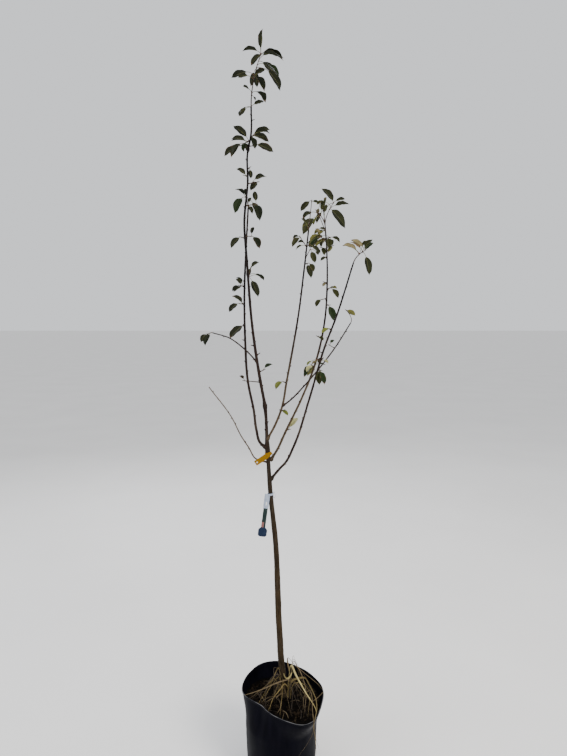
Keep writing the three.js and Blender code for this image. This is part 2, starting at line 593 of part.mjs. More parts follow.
// Stalk and blade as one closed skin of four-sided rings: left edge, top, right edge, underside
function leafSolid(leaf) {
  const { root, base, bend, across, up } = leaf;
  const middle = root.clone().add(base).multiplyScalar(0.25).addScaledVector(bend, 0.5);
  const stalk = [[root, STALK_RADIUS], [middle, STALK_RADIUS], [base, STALK_END_RADIUS]];
  const rings = stalk.map(([centre, radius]) => [
    centre.clone().addScaledVector(across, radius), centre.clone().addScaledVector(up, radius),
    centre.clone().addScaledVector(across, -radius), centre.clone().addScaledVector(up, -radius),
  ]);
  for (const s of LEAF_STATIONS) {
    const { rib, left, right } = bladeSection(leaf, s);
    const [above, below] = [LEAF_RIB[0], -LEAF_RIB[1]].map((rise) => rib.clone().addScaledVector(up, rise));
    rings.push([left, above, right, below]);
  }
  const points = [...rings.flat(), leaf.arc(1)];
  const tip = points.length - 1;
  const triangles = [[0, 2, 1], [0, 3, 2]];
  for (let q = 0; q < 4; q += 1) {
    const next = (q + 1) % 4;
    for (let k = 0; k + 1 < rings.length; k += 1) {
      const a = 4 * k + q;
      const b = 4 * k + next;
      if (q % 2 === 0) triangles.push([a, b, b + 4], [a, b + 4, a + 4]);
      else triangles.push([a, b, a + 4], [b, b + 4, a + 4]);
    }
    triangles.push([tip - 4 + q, tip - 4 + next, tip]);
  }
  return toSolid(closedGeometry(points, triangles));
}

// A leaf touches a limb where a point of its blade comes nearer than the clearance
function touchesLimb(leaf, limbs) {
  const probes = LEAF_PROBES.flatMap((s) => Object.values(bladeSection(leaf, s)));
  return limbs.some((limb) => limb.centres.some((centre, k) => {
    if (k === 0) return false;
    const span = new THREE.Line3(limb.centres[k - 1], centre);
    return probes.some((probe) => {
      const nearest = span.closestPointToPoint(probe, true, vec(0, 0, 0));
      return nearest.distanceTo(probe) < limb.radii[k - 1] + LEAF_CLEARANCE;
    });
  }));
}

// The leaves of a mass, each turned to its other side or skipped where it would touch a limb
function growLeaves(mass, stem, limbs) {
  const random = chance(mass.seed);
  const leaves = [];
  mass.leaves.forEach((row, i) => {
    const first = (mass.seed + i) % 2 === 0 ? 1 : -1;
    const draws = [random(), random(), random(), random()];
    const leaf = [first, -first].map((side) => growLeaf(stem, row, draws, side))
      .find((candidate) => !touchesLimb(candidate, limbs));
    if (leaf) leaves.push(leaf);
  });
  return leaves;
}

// A mass of leaves as one solid: stem, stalks and blades fused
function makeMass(mass, limbs) {
  const limb = limbs.find((candidate) => candidate.name === mass.limb);
  const stem = massStem(mass, limb);
  const steps = Math.max(stem.tipped ? TIP_STEM_STEPS : 1, Math.round(mass.length / STEM_STEP));
  const centres = Array.from({ length: steps + 1 }, (_, k) => stem.at((mass.length * k) / steps));
  if (!stem.tipped) centres.unshift(stem.root);
  const radii = centres.map((_, k) => mix(stem.base, STEM_TIP_RADIUS, k / (centres.length - 1)));
  const leaves = growLeaves(mass, stem, limbs).map(leafSolid);
  const whole = wasm.Manifold.union([toSolid(tube(centres, radii, STEM_SIDES)), ...leaves]);
  return toGeometry(largest(whole.subtract(limbSolid(limb, GAP))));
}

// A level band of square section, centred on its own height
function bandSolid(inner, thickness, height) {
  const outer = inner + thickness;
  const profile = [[inner, 0], [outer, 0], [outer, height], [inner, height], [inner, 0]]
    .map(([x, y]) => new THREE.Vector2(x, y));
  const band = new THREE.LatheGeometry(profile, BAND_SIDES).rotateX(Math.PI / 2);
  return toSolid(band).translate([0, 0, -height / 2]);
}

// Outline with its holes, given a thickness, standing upright and facing the front
function plateSolid(shape, thickness) {
  const settings = { depth: thickness, bevelEnabled: false, curveSegments: HOLE_SIDES };
  return toSolid(new THREE.ExtrudeGeometry(shape, settings).rotateX(Math.PI / 2));
}

// Closed rectangle round its middle, drawn on a shape or on the path of a hole
function rectangle(path, x, y, width, height) {
  const corners = [[-0.5, -0.5], [0.5, -0.5], [0.5, 0.5], [-0.5, 0.5], [-0.5, -0.5]];
  path.setFromPoints(corners.map(([u, v]) => new THREE.Vector2(x + u * width, y + v * height)));
  return path;
}

// Hanging tag: band, loop's end to the right and long strip in front
function makeTag(trunk) {
  const place = placeOnLimb(trunk, TAG_HEIGHT);
  const inner = place.radius + TAG_CLEARANCE;
  const front = -(inner + TAG_THICKNESS);
  const band = bandSolid(inner, TAG_THICKNESS, TAG_BAND);
  const outline = [...TAG_HALF_OUTLINE, ...TAG_HALF_OUTLINE.toReversed().map(([x, y]) => [-x, y])];
  const strip = new THREE.Shape(outline.map(([x, y]) => new THREE.Vector2(x, y)));
  strip.holes.push(rectangle(new THREE.Path(), 0, -TAG_SLOT.drop, TAG_SLOT.width, TAG_SLOT.height));
  const hanging = plateSolid(strip, TAG_THICKNESS)
    .rotate([0, TAG_LEAN, 0])
    .translate([-TAG_SHIFT, front, 0]);
  const loop = rectangle(new THREE.Shape(), 0, 0, TAG_LOOP.width, TAG_LOOP.height);
  const opening = [TAG_LOOP.width, TAG_LOOP.height].map((size) => size - 2 * TAG_LOOP.wall);
  loop.holes.push(rectangle(new THREE.Path(), 0, 0, ...opening));
  const loopEnd = plateSolid(loop, TAG_THICKNESS)
    .translate([inner + TAG_LOOP.width / 2 - TAG_LOOP.overlap, TAG_THICKNESS / 2, -TAG_LOOP.drop]);
  const bridge = toSolid(new THREE.BoxGeometry(TAG_SHIFT, TAG_THICKNESS, TAG_BAND)
    .translate(-TAG_SHIFT / 2, front + TAG_THICKNESS / 2, 0));
  return { solid: largest(wasm.Manifold.union([band, hanging, loopEnd, bridge])), place };
}

// Yellow label: band round the trunk and a plate across its front
function makeLabel(trunk) {
  const place = placeOnLimb(trunk, LABEL_HEIGHT);
  const inner = place.radius + LABEL_CLEARANCE;
  const plate = rectangle(new THREE.Shape(), 0, 0, LABEL_LENGTH, LABEL_WIDTH);
  const hole = new THREE.Path();
  hole.absarc(LABEL_HOLE.inset - LABEL_LENGTH / 2, 0, LABEL_HOLE.radius, 0, 2 * Math.PI, true);
  plate.holes.push(hole);
  const strip = plateSolid(plate, LABEL_THICKNESS)
    .rotate([0, -LABEL_SLOPE, 0])
    .translate([LABEL_CENTRE[0], -inner, LABEL_CENTRE[1]]);
  const band = bandSolid(inner, LABEL_THICKNESS, LABEL_BAND);
  return { solid: largest(wasm.Manifold.union([band, strip])), place };
}

// Materials
const paint = (color, roughness) => new THREE.MeshStandardMaterial({ color, roughness, metalness: 0 });
const POT_BLACK = paint(0x15171a, 0.42);
const SOIL_BROWN = paint(0x33271c, 0.95);
const TRUNK_BARK = paint(0x7a6338, 0.75);
const BOUGH_BARK = paint(0x4a2f26, 0.65);
const LEAF_OLIVE = paint(0x49531f, 0.55);
const LEAF_YELLOW = paint(0x8a8c34, 0.55);
const TAG_PLASTIC = paint(0x2f4a52, 0.4);
const LABEL_YELLOW = paint(0xd39a12, 0.45);

const tree = new THREE.Group();

function add(name, geometry, material, parent = tree) {
  const mesh = new THREE.Mesh(geometry, material);
  mesh.name = name;
  parent.add(mesh);
}

add('pot', makePot(), POT_BLACK);
add('soil', makeSoil(), SOIL_BROWN);

// Limbs, each with its pruning stubs and cut clear of the one it leaves
const limbs = [{ name: 'trunk', route: TRUNK_ROUTE, sides: TRUNK_SIDES, step: TRUNK_STEP }];
BOUGHS.forEach((bough) => limbs.push({ ...bough, sides: BOUGH_SIDES, step: BOUGH_STEP }));
limbs.forEach((limb) => Object.assign(limb, limbSections(limb)));

function makeStub(limb, [, height, bearing, length, radius]) {
  const place = placeOnLimb(limb, height);
  const end = place.point.clone().addScaledVector(heading(bearing, STUB_TURN), place.radius + length);
  return toSolid(tube([place.point, end], [radius, radius * STUB_TAPER], STUB_SIDES));
}

for (const limb of limbs) {
  const stubs = STUBS.filter(([name]) => name === limb.name).map((stub) => makeStub(limb, stub));
  const whole = wasm.Manifold.union([limbSolid(limb), ...stubs]);
  const parent = limbs.find((other) => other.name === limb.from);
  const fitted = parent ? largest(whole.subtract(limbSolid(parent, GAP))) : whole;
  add(limb.name, toGeometry(fitted), parent ? BOUGH_BARK : TRUNK_BARK);
}

// Leaves of the right-hand boughs have turned yellower than the leader's
const YELLOWED = ['back', 'front', 'cross', 'inner'];
for (const mass of MASSES) {
  const yellow = YELLOWED.some((word) => mass.name.includes(word));
  add(mass.name, makeMass(mass, limbs), yellow ? LEAF_YELLOW : LEAF_OLIVE);
}

// Tag and label hang on groups that stand square to the trunk
for (const [name, made, material] of [
  ['hang_tag', makeTag(limbs[0]), TAG_PLASTIC],
  ['yellow_label', makeLabel(limbs[0]), LABEL_YELLOW],
]) {
  const holder = new THREE.Group();
  holder.position.copy(made.place.point);
  holder.quaternion.setFromUnitVectors(vec(0, 0, 1), made.place.direction);
  tree.add(holder);
  add(name, toGeometry(made.solid), material, holder);
}

export default tree;
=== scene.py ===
# Looks of a slim young fruit tree in a thin black nursery pot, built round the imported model.
# The tables and helpers are in millimetres. Meshes are turned to metres as they are made.
import math
import bpy
import numpy as np
from mathutils import Matrix, Vector


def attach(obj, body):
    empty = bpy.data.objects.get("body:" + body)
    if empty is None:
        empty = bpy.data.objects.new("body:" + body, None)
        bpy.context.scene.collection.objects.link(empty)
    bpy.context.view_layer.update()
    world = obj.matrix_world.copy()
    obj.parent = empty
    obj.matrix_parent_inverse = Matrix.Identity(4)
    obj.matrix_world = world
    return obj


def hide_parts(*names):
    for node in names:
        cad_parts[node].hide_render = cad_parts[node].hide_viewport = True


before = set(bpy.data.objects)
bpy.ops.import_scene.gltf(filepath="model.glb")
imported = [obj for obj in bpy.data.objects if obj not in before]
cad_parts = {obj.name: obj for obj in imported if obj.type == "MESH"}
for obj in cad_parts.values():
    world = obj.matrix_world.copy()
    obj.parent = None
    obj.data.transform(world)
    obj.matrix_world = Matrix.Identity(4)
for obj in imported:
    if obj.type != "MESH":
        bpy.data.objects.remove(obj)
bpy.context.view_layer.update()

MM = 0.001
TURN = 2 * math.pi
SPIN = (0, 6.28)

# Camera at the photograph's angle: lens and sensor in mm, place in metres, pitch in degrees. The
# leaves' rule works with its place in whole mm, as in the model
CAMERA_LENS = 26.19
CAMERA_SENSOR = 36
CAMERA_PLACE = (0.006747, -1.7519, 1.4929)
CAMERA_PITCH = 5.1944
EYE = (6.7, -1752, 1493)

# Pot, as in the model
POT_SIDES = 216
POT_WALL = 1.8
POT_FLOOR = 3
POT_FOOT_RADIUS = 110
POT_HEEL_RADIUS = 114
POT_BODY_RADIUS = 120
POT_MOUTH_RADIUS = 139
POT_HEEL_HEIGHT = 16
POT_FLARE_START = 176
POT_RIM_HEIGHT = 270
# Each warp of the mouth: bearing and spread in degrees, reach outward and rise in mm
MOUTH_WARPS = [(108, 40, 17, 13), (-57, 25, 22, -10), (-133, 40, -38, 10)]

# Pot, as drawn: its underside from the middle out as inset and lift, the step above the foot,
# dents as depth, lobes, run in mm and seed, rows, the uneven rim and the lip
POT_UNDER = [(104, 1.2), (60, 1.2), (22, 1.2), (17, 0.9), (14, 0.1), (5, 0)]
POT_STEP = 0.7
POT_STEP_HEIGHT = 20
POT_STEP_RUN = 2
POT_DENTS = [(1.9, 2.1, 75, 11), (1.1, 5, 260, 12), (0.35, 6, 30, 13)]
POT_DENTS_RUN = 60
POT_ROWS = 78
POT_INNER_ROWS = 60
POT_FLOOR_INSET = 60
RIM_UNEVEN = 1.1
RIM_UNEVEN_FROM = 230
RIM_UNEVEN_RUN = 40
RIM_LOBES = 4
RIM_SEED = 14
LIP_DEPTH = 7
LIP_PROUD = 3.2
LIP_SUNK = 0.35
LIP_ROLL = (-80, 165)
LIP_ROWS = 15
# Rows of the lip's roll that are painted lighter grey, as a painted highlight along the lip's top,
# mottled in patches, then the dark and light grey of that highlight
LIP_HIGHLIGHT_ROWS = (7, 11)
LIP_HIGHLIGHT_COLOURS = ((0.016, 0.017, 0.022), (0.115, 0.115, 0.118))

# Potting mix, then the lumps of its drawn surface: height, size in mm and seed
SOIL_HEIGHT = 242
SOIL_EDGE_HEIGHT = 236
SOIL_CLEARANCE = 0.4
SOIL_RELIEF = 3
SOIL_WAVES = 5
SOIL_WAVE_TURN = 9
SOIL_REACH = 118
SOIL_LUMPS = [(2.6, 17, 21), (1.5, 7, 22), (0.7, 2.8, 23)]
SOIL_MOUND = 4
SOIL_MOUND_REACH = 26
SOIL_SIDES = 190
SOIL_START = 0.03
SOIL_ROWS = 74
SOIL_WALL_LEVELS = (225, 20)
SOIL_WALL_ROWS = 9
SOIL_BASE_INSET = 5
SOIL_BASE_LIFT = 0.5

# Trunk, boughs and stubs, as in the model
TIP = "tip"
TRUNK_ROUTE = [
  [14, 20, 242.3], [2, 17, 340], [-8, 10, 500], [-20, 2, 800], [-36, 0, 960],
  [-46, 0, 1120], [-53, 0, 1243], [-67, 2, 1321], [-92, 10, 1490], [-109, 20, 1700],
  [-117, 24, 1827], [-106, 28, 1950], [-106, 30, 2040], [-95, 30, 2095], [-94, 30, 2178],
]
TRUNK_GIRTH = [[242, 11.4], [600, 10.2], [1000, 7.4], [1150, 5.4], [1500, 3.7], [2178, 2.1]]
TRUNK_SWELLINGS = [[1104, 2.4, 26], [1243, 2.6, 13]]
BOUGHS = [
  ("bough_left", "trunk", [4.6, 2.1], [
    [-47, 0, 1106], [-69, 4, 1123], [-81, 10, 1163], [-90, 17, 1228], [-107, 24, 1309],
    [-118, 36, 1467], [-120, 45, 1583], [-110, 58, 1823], [-107, 60, 1877]]),
  ("bough_low_left", "trunk", [2.7, 1.2], [
    [-37, 0, 1057], [-85, 2, 1072], [-104, -10, 1108], [-128, -26, 1151],
    [-154, -44, 1210], [-220, -88, 1314]]),
  ("bough_mid_left", "trunk", [2.2, 1.1], [
    [-76, 5, 1381], [-98, -8, 1408], [-120, -18, 1430], [-162, -36, 1462], [-211, -52, 1478]]),
  ("bough_inner", "trunk", [4, 1.7], [
    [-47, 0, 1132], [-20, -6, 1183], [2, -8, 1241], [16, -10, 1319], [54, -18, 1537],
    [74, -23, 1703], [84, -26, 1793]]),
  ("bough_cross", "bough_inner", [2.6, 1.4], [
    [3, -8, 1244], [27, -7, 1262], [74, -4, 1310], [104, 0, 1344], [175, 28, 1432],
    [226, 55, 1509]]),
  ("bough_right_back", "trunk", [4.3, 1.7], [
    [-37, 0, 1063], [-14, 9, 1098], [10, 16, 1149], [68, 29, 1269], [106, 38, 1364],
    [143, 60, 1526], [150, 74, 1633], [149, 88, 1748], [144, 96, 1824]]),
  ("bough_right_front", "trunk", [4.5, 1.8], [
    [-37, 0, 1000], [-4, -12, 1043], [12, -17, 1061], [39, -27, 1117], [88, -43, 1273],
    [135, -58, 1439], [166, -68, 1523], [215, -90, 1686]]),
]
STUBS = [
  ["trunk", 1405, 35, 11, 1.9], ["trunk", 1436, 170, 9, 1.8], ["trunk", 2138, 20, 9, 1.2],
  ["bough_right_front", 1415, 150, 9, 1.4], ["bough_left", 1452, 160, 8, 1.5],
]
MASSES = [
  ("leaves_top", "trunk", TIP, 79, 160, 127, [
    [160, 85, 58], [160, 180, 46], [156, -15, 66, 12], [156, -130, 38, 6], [130, -40, 62],
    [98, -160, 51, 34], [88, -170, 31, 22], [120, -90, 45], [96, 25, 30], [123, -55, 71, 38],
    [95, -55, 51, 6], [46, 155, 21, 17], [46, -45, 45], [39, -65, 13], [0, -135, 33, 18]]),
  ("leaves_upper_left", "trunk", 2078, -152, 32, 117, [
    [2, 140, 54, 14], [7, 180, 44, 9], [20, -125, 51, 14], [32, -145, 52, 12], [11, -105, 28, 6]]),
  ("leaves_upper_right", "trunk", 2086, 35, 12, 100, [
    [4, 15, 54, 11], [11, 0, 40], [3, -15, 49, 8], [3, -80, 36, 9]]),
  ("leaves_upper_low", "trunk", 2060, 5, 12, 18, [[9, -25, 57]]),
  ("leaves_high_left", "trunk", 1968, 165, 9, 57, [[3, 145, 33, 5]]),
  ("leaves_high_middle", "trunk", 1990, 35, 8, 4, [[5, -85, 27]]),
  ("leaves_high_right", "trunk", 1945, 10, 32, 79, [[13, 15, 38], [31, -130, 33, 5]]),
  ("leaves_left_tip", "bough_left", TIP, 104, 35, 80, [
    [30, 150, 32, 19], [35, -120, 52], [29, 95, 25, 11], [11, 60, 18]]),
  ("leaves_mid_right", "trunk", 1877, 8, 32, 71, [
    [31, 100, 31], [9, -35, 31], [25, -75, 49], [2, -60, 26]]),
  ("leaves_mid_left", "trunk", 1776, 165, 12, 16, [[8, -130, 43, 11]]),
  ("leaves_lower_right", "trunk", 1782, 0, 19, 138, [[18, 75, 23], [14, -55, 41]]),
  ("leaves_olive_right", "trunk", 1648, 76, 35, 19, [
    [27, 40, 28], [35, -100, 32], [11, -35, 29, 20], [2, -70, 56]]),
  ("leaves_left_upper", "bough_left", 1626, 165, 14, 55, [[8, 130, 25, 5], [12, -135, 26]]),
  ("leaves_left_middle", "bough_left", 1570, 175, 12, 157, [[4, 145, 37, 6], [11, -135, 38]]),
  ("leaves_left_lower", "bough_left", 1500, 180, 8, 76, [[2, -135, 58, 6]]),
  ("leaves_low_right", "trunk", 1352, 25, 15, 16, [[11, 25, 28]]),
  ("twig_low_left", "trunk", 1320, 175, 50, 122, [[47, 144, 17]]),
  ("leaves_mid_left_tip", "bough_mid_left", TIP, -165, 18, 21, [[3, -115, 38], [17, -120, 28]]),
  ("leaves_inner_tip", "bough_inner", TIP, 84, 88, 158, [[88, -130, 40, 10], [86, -25, 26, 3]]),
  ("leaves_inner_left", "bough_inner", 1742, 124, 36, 114, [
    [36, -160, 21, 4], [32, -125, 35, 8], [14, 180, 18, 3], [2, -145, 23, 14]]),
  ("leaves_inner_high", "bough_inner", 1744, 25, 8, 61, [[5, 45, 34], [6, -45, 35]]),
  ("leaves_inner_right", "bough_inner", 1708, 62, 28, 13, [[28, -75, 36]]),
  ("leaves_inner_mid", "bough_inner", 1690, 15, 8, 64, [[4, -75, 42, 8], [8, -65, 26, 15]]),
  ("leaves_back_tip", "bough_right_back", TIP, 71, 82, 31, [
    [82, 130, 55, 6], [80, 10, 32, 13], [60, 5, 48, 24], [62, -50, 75, 10], [70, 180, 22, 26],
    [82, -120, 30, 22]]),
  ("leaves_back_left", "bough_right_back", 1808, 112, 62, 11, [
    [56, -120, 35, 4], [60, -150, 38, 28], [50, -125, 62, 34], [2, -145, 24, 8]]),
  ("leaves_back_middle", "bough_right_back", 1780, 150, 20, 70, [[7, -105, 24], [19, -130, 42]]),
  ("leaves_back_right", "bough_right_back", 1787, 10, 12, 38, [
    [9, -30, 32], [5, -85, 36], [8, -75, 20, 20]]),
  ("leaves_back_mid_left", "bough_right_back", 1752, 165, 18, 33, [[17, -70, 24]]),
  ("leaves_back_low_left", "bough_right_back", 1590, -165, 12, 59, [[11, -125, 28]]),
  ("leaves_back_low_right", "bough_right_back", 1620, 20, 11, 60, [[10, -15, 18, 5], [6, -55, 36]]),
  ("leaves_back_hanging", "bough_right_back", 1568, 0, 9, 13, [[3, -70, 55, 9]]),
  ("leaves_front_tip", "bough_right_front", TIP, 47, 50, 37, [
    [31, 155, 37, 15], [43, 150, 38], [42, 45, 33, 15], [43, -80, 57, 27]]),
  ("leaves_cross_tip", "bough_cross", TIP, 110, 45, 120, [[44, -35, 32, 4]]),
  ("leaves_inner_fork", "bough_inner", 1228, 20, 8, 77, [[2, -45, 23, 3]]),
  ("leaves_inner_low", "bough_inner", 1319, 160, 9, 79, [[6, -130, 31]]),
  ("leaves_back_foot", "bough_right_back", 1162, 10, 7, 117, [[4, 50, 42, 9]]),
  ("leaves_front_hanging", "bough_right_front", 1364, -10, 8, 11, [[3, -75, 42, 9]]),
  ("leaves_back_crossing", "bough_right_back", 1366, 140, 8, 123, [
    [2, -135, 28, 4], [2, -120, 34, 17]]),
  ("leaves_back_upper", "bough_right_back", 1458, 150, 14, 76, [[13, -45, 19]]),
  ("leaves_front_upper", "bough_right_front", 1488, 160, 8, 59, [[3, -150, 26, 4]]),
  ("leaves_cross_mid", "bough_cross", 1428, 150, 18, 16, [[17, 40, 16]]),
]
# Leaves only drawn here, in the gaps of the model's masses: distance along the stem, bearing, seen
# length, stalk, tint and the seed of the leaf's draws. These rows, and those of the finer twigs,
# were found by a search from leaves measured in the photograph
MORE_LEAVES = {
    "leaves_top": [(160, 85, 56, 17, "dark", 56), (140, 25, 42, 22, "dark", 42),
                   (160, -15, 58, 17, "dark", 42), (160, -135, 43, 2, "brown", 35),
                   (140, -45, 61, 17, "dark", 21), (100, 30, 37, 2, "dark", 42),
                   (120, -105, 43, 22, "dark", 77), (0, -135, 33, 17, "dark", 35),
                   (0, 15, 33, 12, "dark", 42)],
    "leaves_upper_left": [(16, -70, 31, 2, "dark", 21)],
    "leaves_upper_right": [(0, -25, 46, 17, "green", 21)],
    "leaves_upper_low": [(0, 170, 44, 22, "brown", 14)],
    "leaves_high_right": [(32, -125, 32, 7, "dark", 77)],
    "leaves_left_tip": [(35, -65, 36, 37, "green", 21)],
    "leaves_olive_right": [(0, -35, 28, 32, "dark", 14)],
    "leaves_left_upper": [(0, 135, 26, 12, "green", 14), (0, -145, 32, 7, "green", 35)],
    "leaves_left_middle": [(0, 145, 38, 7, "green", 14)],
    "leaves_inner_tip": [(18, -135, 12, 14, "lime", 7), (0, 140, 17, 26, "green", 14)],
    "leaves_inner_high": [(5, 35, 24, 18, "olive", 42)],
    "leaves_inner_right": [(28, -55, 14, 26, "green", 21)],
    "leaves_back_left": [(0, 170, 17, 6, "green", 14), (0, -140, 22, 6, "lime", 35),
                         (0, -150, 23, 22, "gold", 77)],
    "leaves_back_middle": [(20, 130, 19, 14, "tan", 14), (0, -140, 38, 30, "green", 77),
                           (0, -130, 27, 18, "gold", 35), (20, -130, 31, 18, "lime", 35),
                           (0, -140, 30, 6, "lime", 77), (0, -140, 27, 26, "olive", 35)],
    "leaves_back_right": [(0, -145, 20, 6, "lime", 35), (12, -155, 31, 30, "olive", 77),
                          (0, -130, 22, 6, "pale", 77)],
    "leaves_back_low_right": [(0, -5, 21, 6, "green", 21)],
    "leaves_back_crossing": [(0, -115, 37, 2, "lime", 77), (0, -125, 43, 6, "green", 42),
                             (0, -10, 22, 22, "green", 35)],
    "leaves_front_tip": [(33, 160, 38, 22, "pale", 56), (50, 150, 40, 14, "tan", 56),
                         (50, 45, 32, 2, "green", 77), (33, 55, 21, 26, "olive", 35)],
    "leaves_front_hanging": [(5, -95, 45, 2, "olive", 42)],
}
# Finer twigs with such leaves: limb, height, bearing, length and the leaves
FINE_TWIGS = [
    ("bough_right_back", TIP, 98, 84, [
        (84, -140, 19, 2, "gold", 77), (56, 70, 14, 30, "tan", 42), (84, -100, 20, 26, "pale", 35),
        (56, -115, 38, 10, "green", 35)]),
    ("bough_right_back", TIP, 120, 62, [
        (41, 70, 40, 18, "green", 42), (21, 75, 26, 30, "olive", 42)]),
    ("bough_right_front", 1388, 50, 12, [
        (0, -150, 23, 10, "pale", 35), (12, -140, 21, 2, "green", 77),
        (0, -35, 17, 10, "pale", 14)]),
    ("bough_right_front", 1392, 150, 10, [(0, -135, 20, 26, "lime", 42)]),
    ("bough_right_back", 1757, 15, 20, [(20, -120, 24, 6, "lime", 77)]),
    ("bough_right_back", 1724, 165, 7, [(0, -140, 20, 2, "green", 77)]),
    ("bough_right_back", 1640, 160, 9, [(0, -125, 16, 2, "pale", 77)]),
]
# Added to a seed for the shape of such a leaf, and for the tints and shapes of a mass
MORE_SEED = 900
TINT_SEED = 500
ROOT_FLARE = 4.6
ROOT_FLARE_HEIGHT = 26
ROOT_FLARE_SHARES = [0.25, 0.6]
TRUNK_STEP = 42
BOUGH_STEP = 38
BOUGH_TAPER = 0.8
STUB_TURN = 12

# Stems, stalks and blades, as in the model
STEM_BEND = 0.45
STEM_SHARE = 0.8
STEM_WIDEST = 2
STEM_TIP_RADIUS = 1
STEM_BARE = 2
STALK_SHARE = 0.32
STALK_LIMITS = (8, 24)
STALK_RISE = 0.45
STALK_BEND = 0.45
LEAF_TURN = (10, 36)
LEAF_DROOP = (10, 34)
LEAF_ROLL = (-32, 32)
LEAF_FOLD = (18, 42)
LEAF_HALF_WIDTH = 3.5
LEAF_WIDTH_SHARE = 0.15
LEAF_BELLY = 0.85
LEAF_CLEARANCE = 1.6
LEAF_PROBES = (0.2, 0.5, 0.8, 1)
STEEP = 0.97
YELLOWED = ("back", "front", "cross", "inner")
# Healed heading cut on the leader, as a stub: limb, height, bearing, length and radius
HEALED_CUTS = [("trunk", 1243, 58, 3.2, 4.2), ("trunk", 1106, 105, 2.5, 3.6)]

# Chips in the mix, and dry straw in the pot's mouth: counts, sizes in mm and colours
CHIPS = 1500
CHIP_SEED = 77
CHIP_REACH = 130
CHIP_PLACES = (0.01, 1)
CHIP_LEAST = 1.4
CHIP_SPAN = 5
CHIP_POWER = 2.2
CHIP_LONG = (1.0, 2.1)
CHIP_MARGIN = 2
CHIP_ROOM = 1.2
CHIP_MIXES = (1, 5)
CHIP_SIDES = (0, 3)
CHIP_RAGGED = (0.65, 1.15)
CHIP_THICK = (0.16, 0.38)
CHIP_LIFT = (0.1, 0.9)
CHIP_TILT = (-0.5, 0.5)
CHIP_PROFILE = [(0.82, -1), (1.0, -0.35), (0.96, 0.5), (0.72, 1)]
# Colours of the potting mix and its chips: the mix's own dark brown, darkened further as painted
# shade for the shade that falls inside the pot
SHADED_MIX_COLOURS = [
    ((0.0018, 0.0016, 0.0014), (0.0052, 0.0042, 0.0034)),
    ((0.0038, 0.0029, 0.0022), (0.0100, 0.0070, 0.0048)),
    ((0.0026, 0.0022, 0.0019), (0.0068, 0.0056, 0.0046)),
    ((0.0100, 0.0070, 0.0045), (0.0230, 0.0160, 0.0100)),
    ((0.0017, 0.0016, 0.0015), (0.0042, 0.0035, 0.0032)),
]
STRAW_ROW = 3.2
STRAW_TAPER = ((0, 0.08, 0.5, 0.9, 1), (0.55, 0.9, 1, 0.55, 0.12))
STRAW_LEAST_ROWS = 12
STRAW_SEED = 41
STRAW_WAVER = 0.8
STRAW_WAVER_CELL = 40
STRAW_WAVER_SEEDS = (30, 90)
STRAW_ACROSS = (0.3, 1, 0.2)
STRAW_TWIST = (-2.2, 2.2)
# Corners of a blade's section: aside and crease as shares of the half width, and thickness
STRAW_SECTION = [(-1, 0.35, 0), (0, 0.02, 0.1), (1, 0.35, 0), (0, -0.16, -0.1)]
STRAW_TUFT = 26
TUFT_FRONT = (-200, 20)
TUFT_FRONT_SHARE = 0.72
TUFT_PEAK = (40, 134)
TUFT_REACH = (24, 116)
TUFT_WIDTH = (0.9, 2.0)
TUFT_ROOT = ((13, 22), (-10, 10))
TUFT_KNEE = ((3, 9), (-4, 4))
TUFT_CROWN = (4, 11)
TUFT_OUT = 26
TUFT_ASIDE = (-26, 26)
TUFT_MARGIN = 4
TUFT_KINDS = (0.6, 3)
STRAW_LOOSE = 30
LOOSE_REACH = 108
LOOSE_LENGTH = (28, 95)
LOOSE_WIDTH = (0.8, 1.6)
LOOSE_BOW = (-0.3, 0.3)
LOOSE_SHARES = (-0.5, -0.2, 0.15, 0.5)
LOOSE_MARGIN = 5
LOOSE_LIFT = (1.4, 5)
LOOSE_KINDS = (1, 3)
STRAW_COLOURS = [
    ((0.225, 0.170, 0.070), (0.145, 0.106, 0.044)),
    ((0.145, 0.108, 0.060), (0.090, 0.066, 0.038)),
    ((0.070, 0.056, 0.042), (0.042, 0.033, 0.026)),
    ((0.460, 0.380, 0.170), (0.330, 0.260, 0.105)),
]
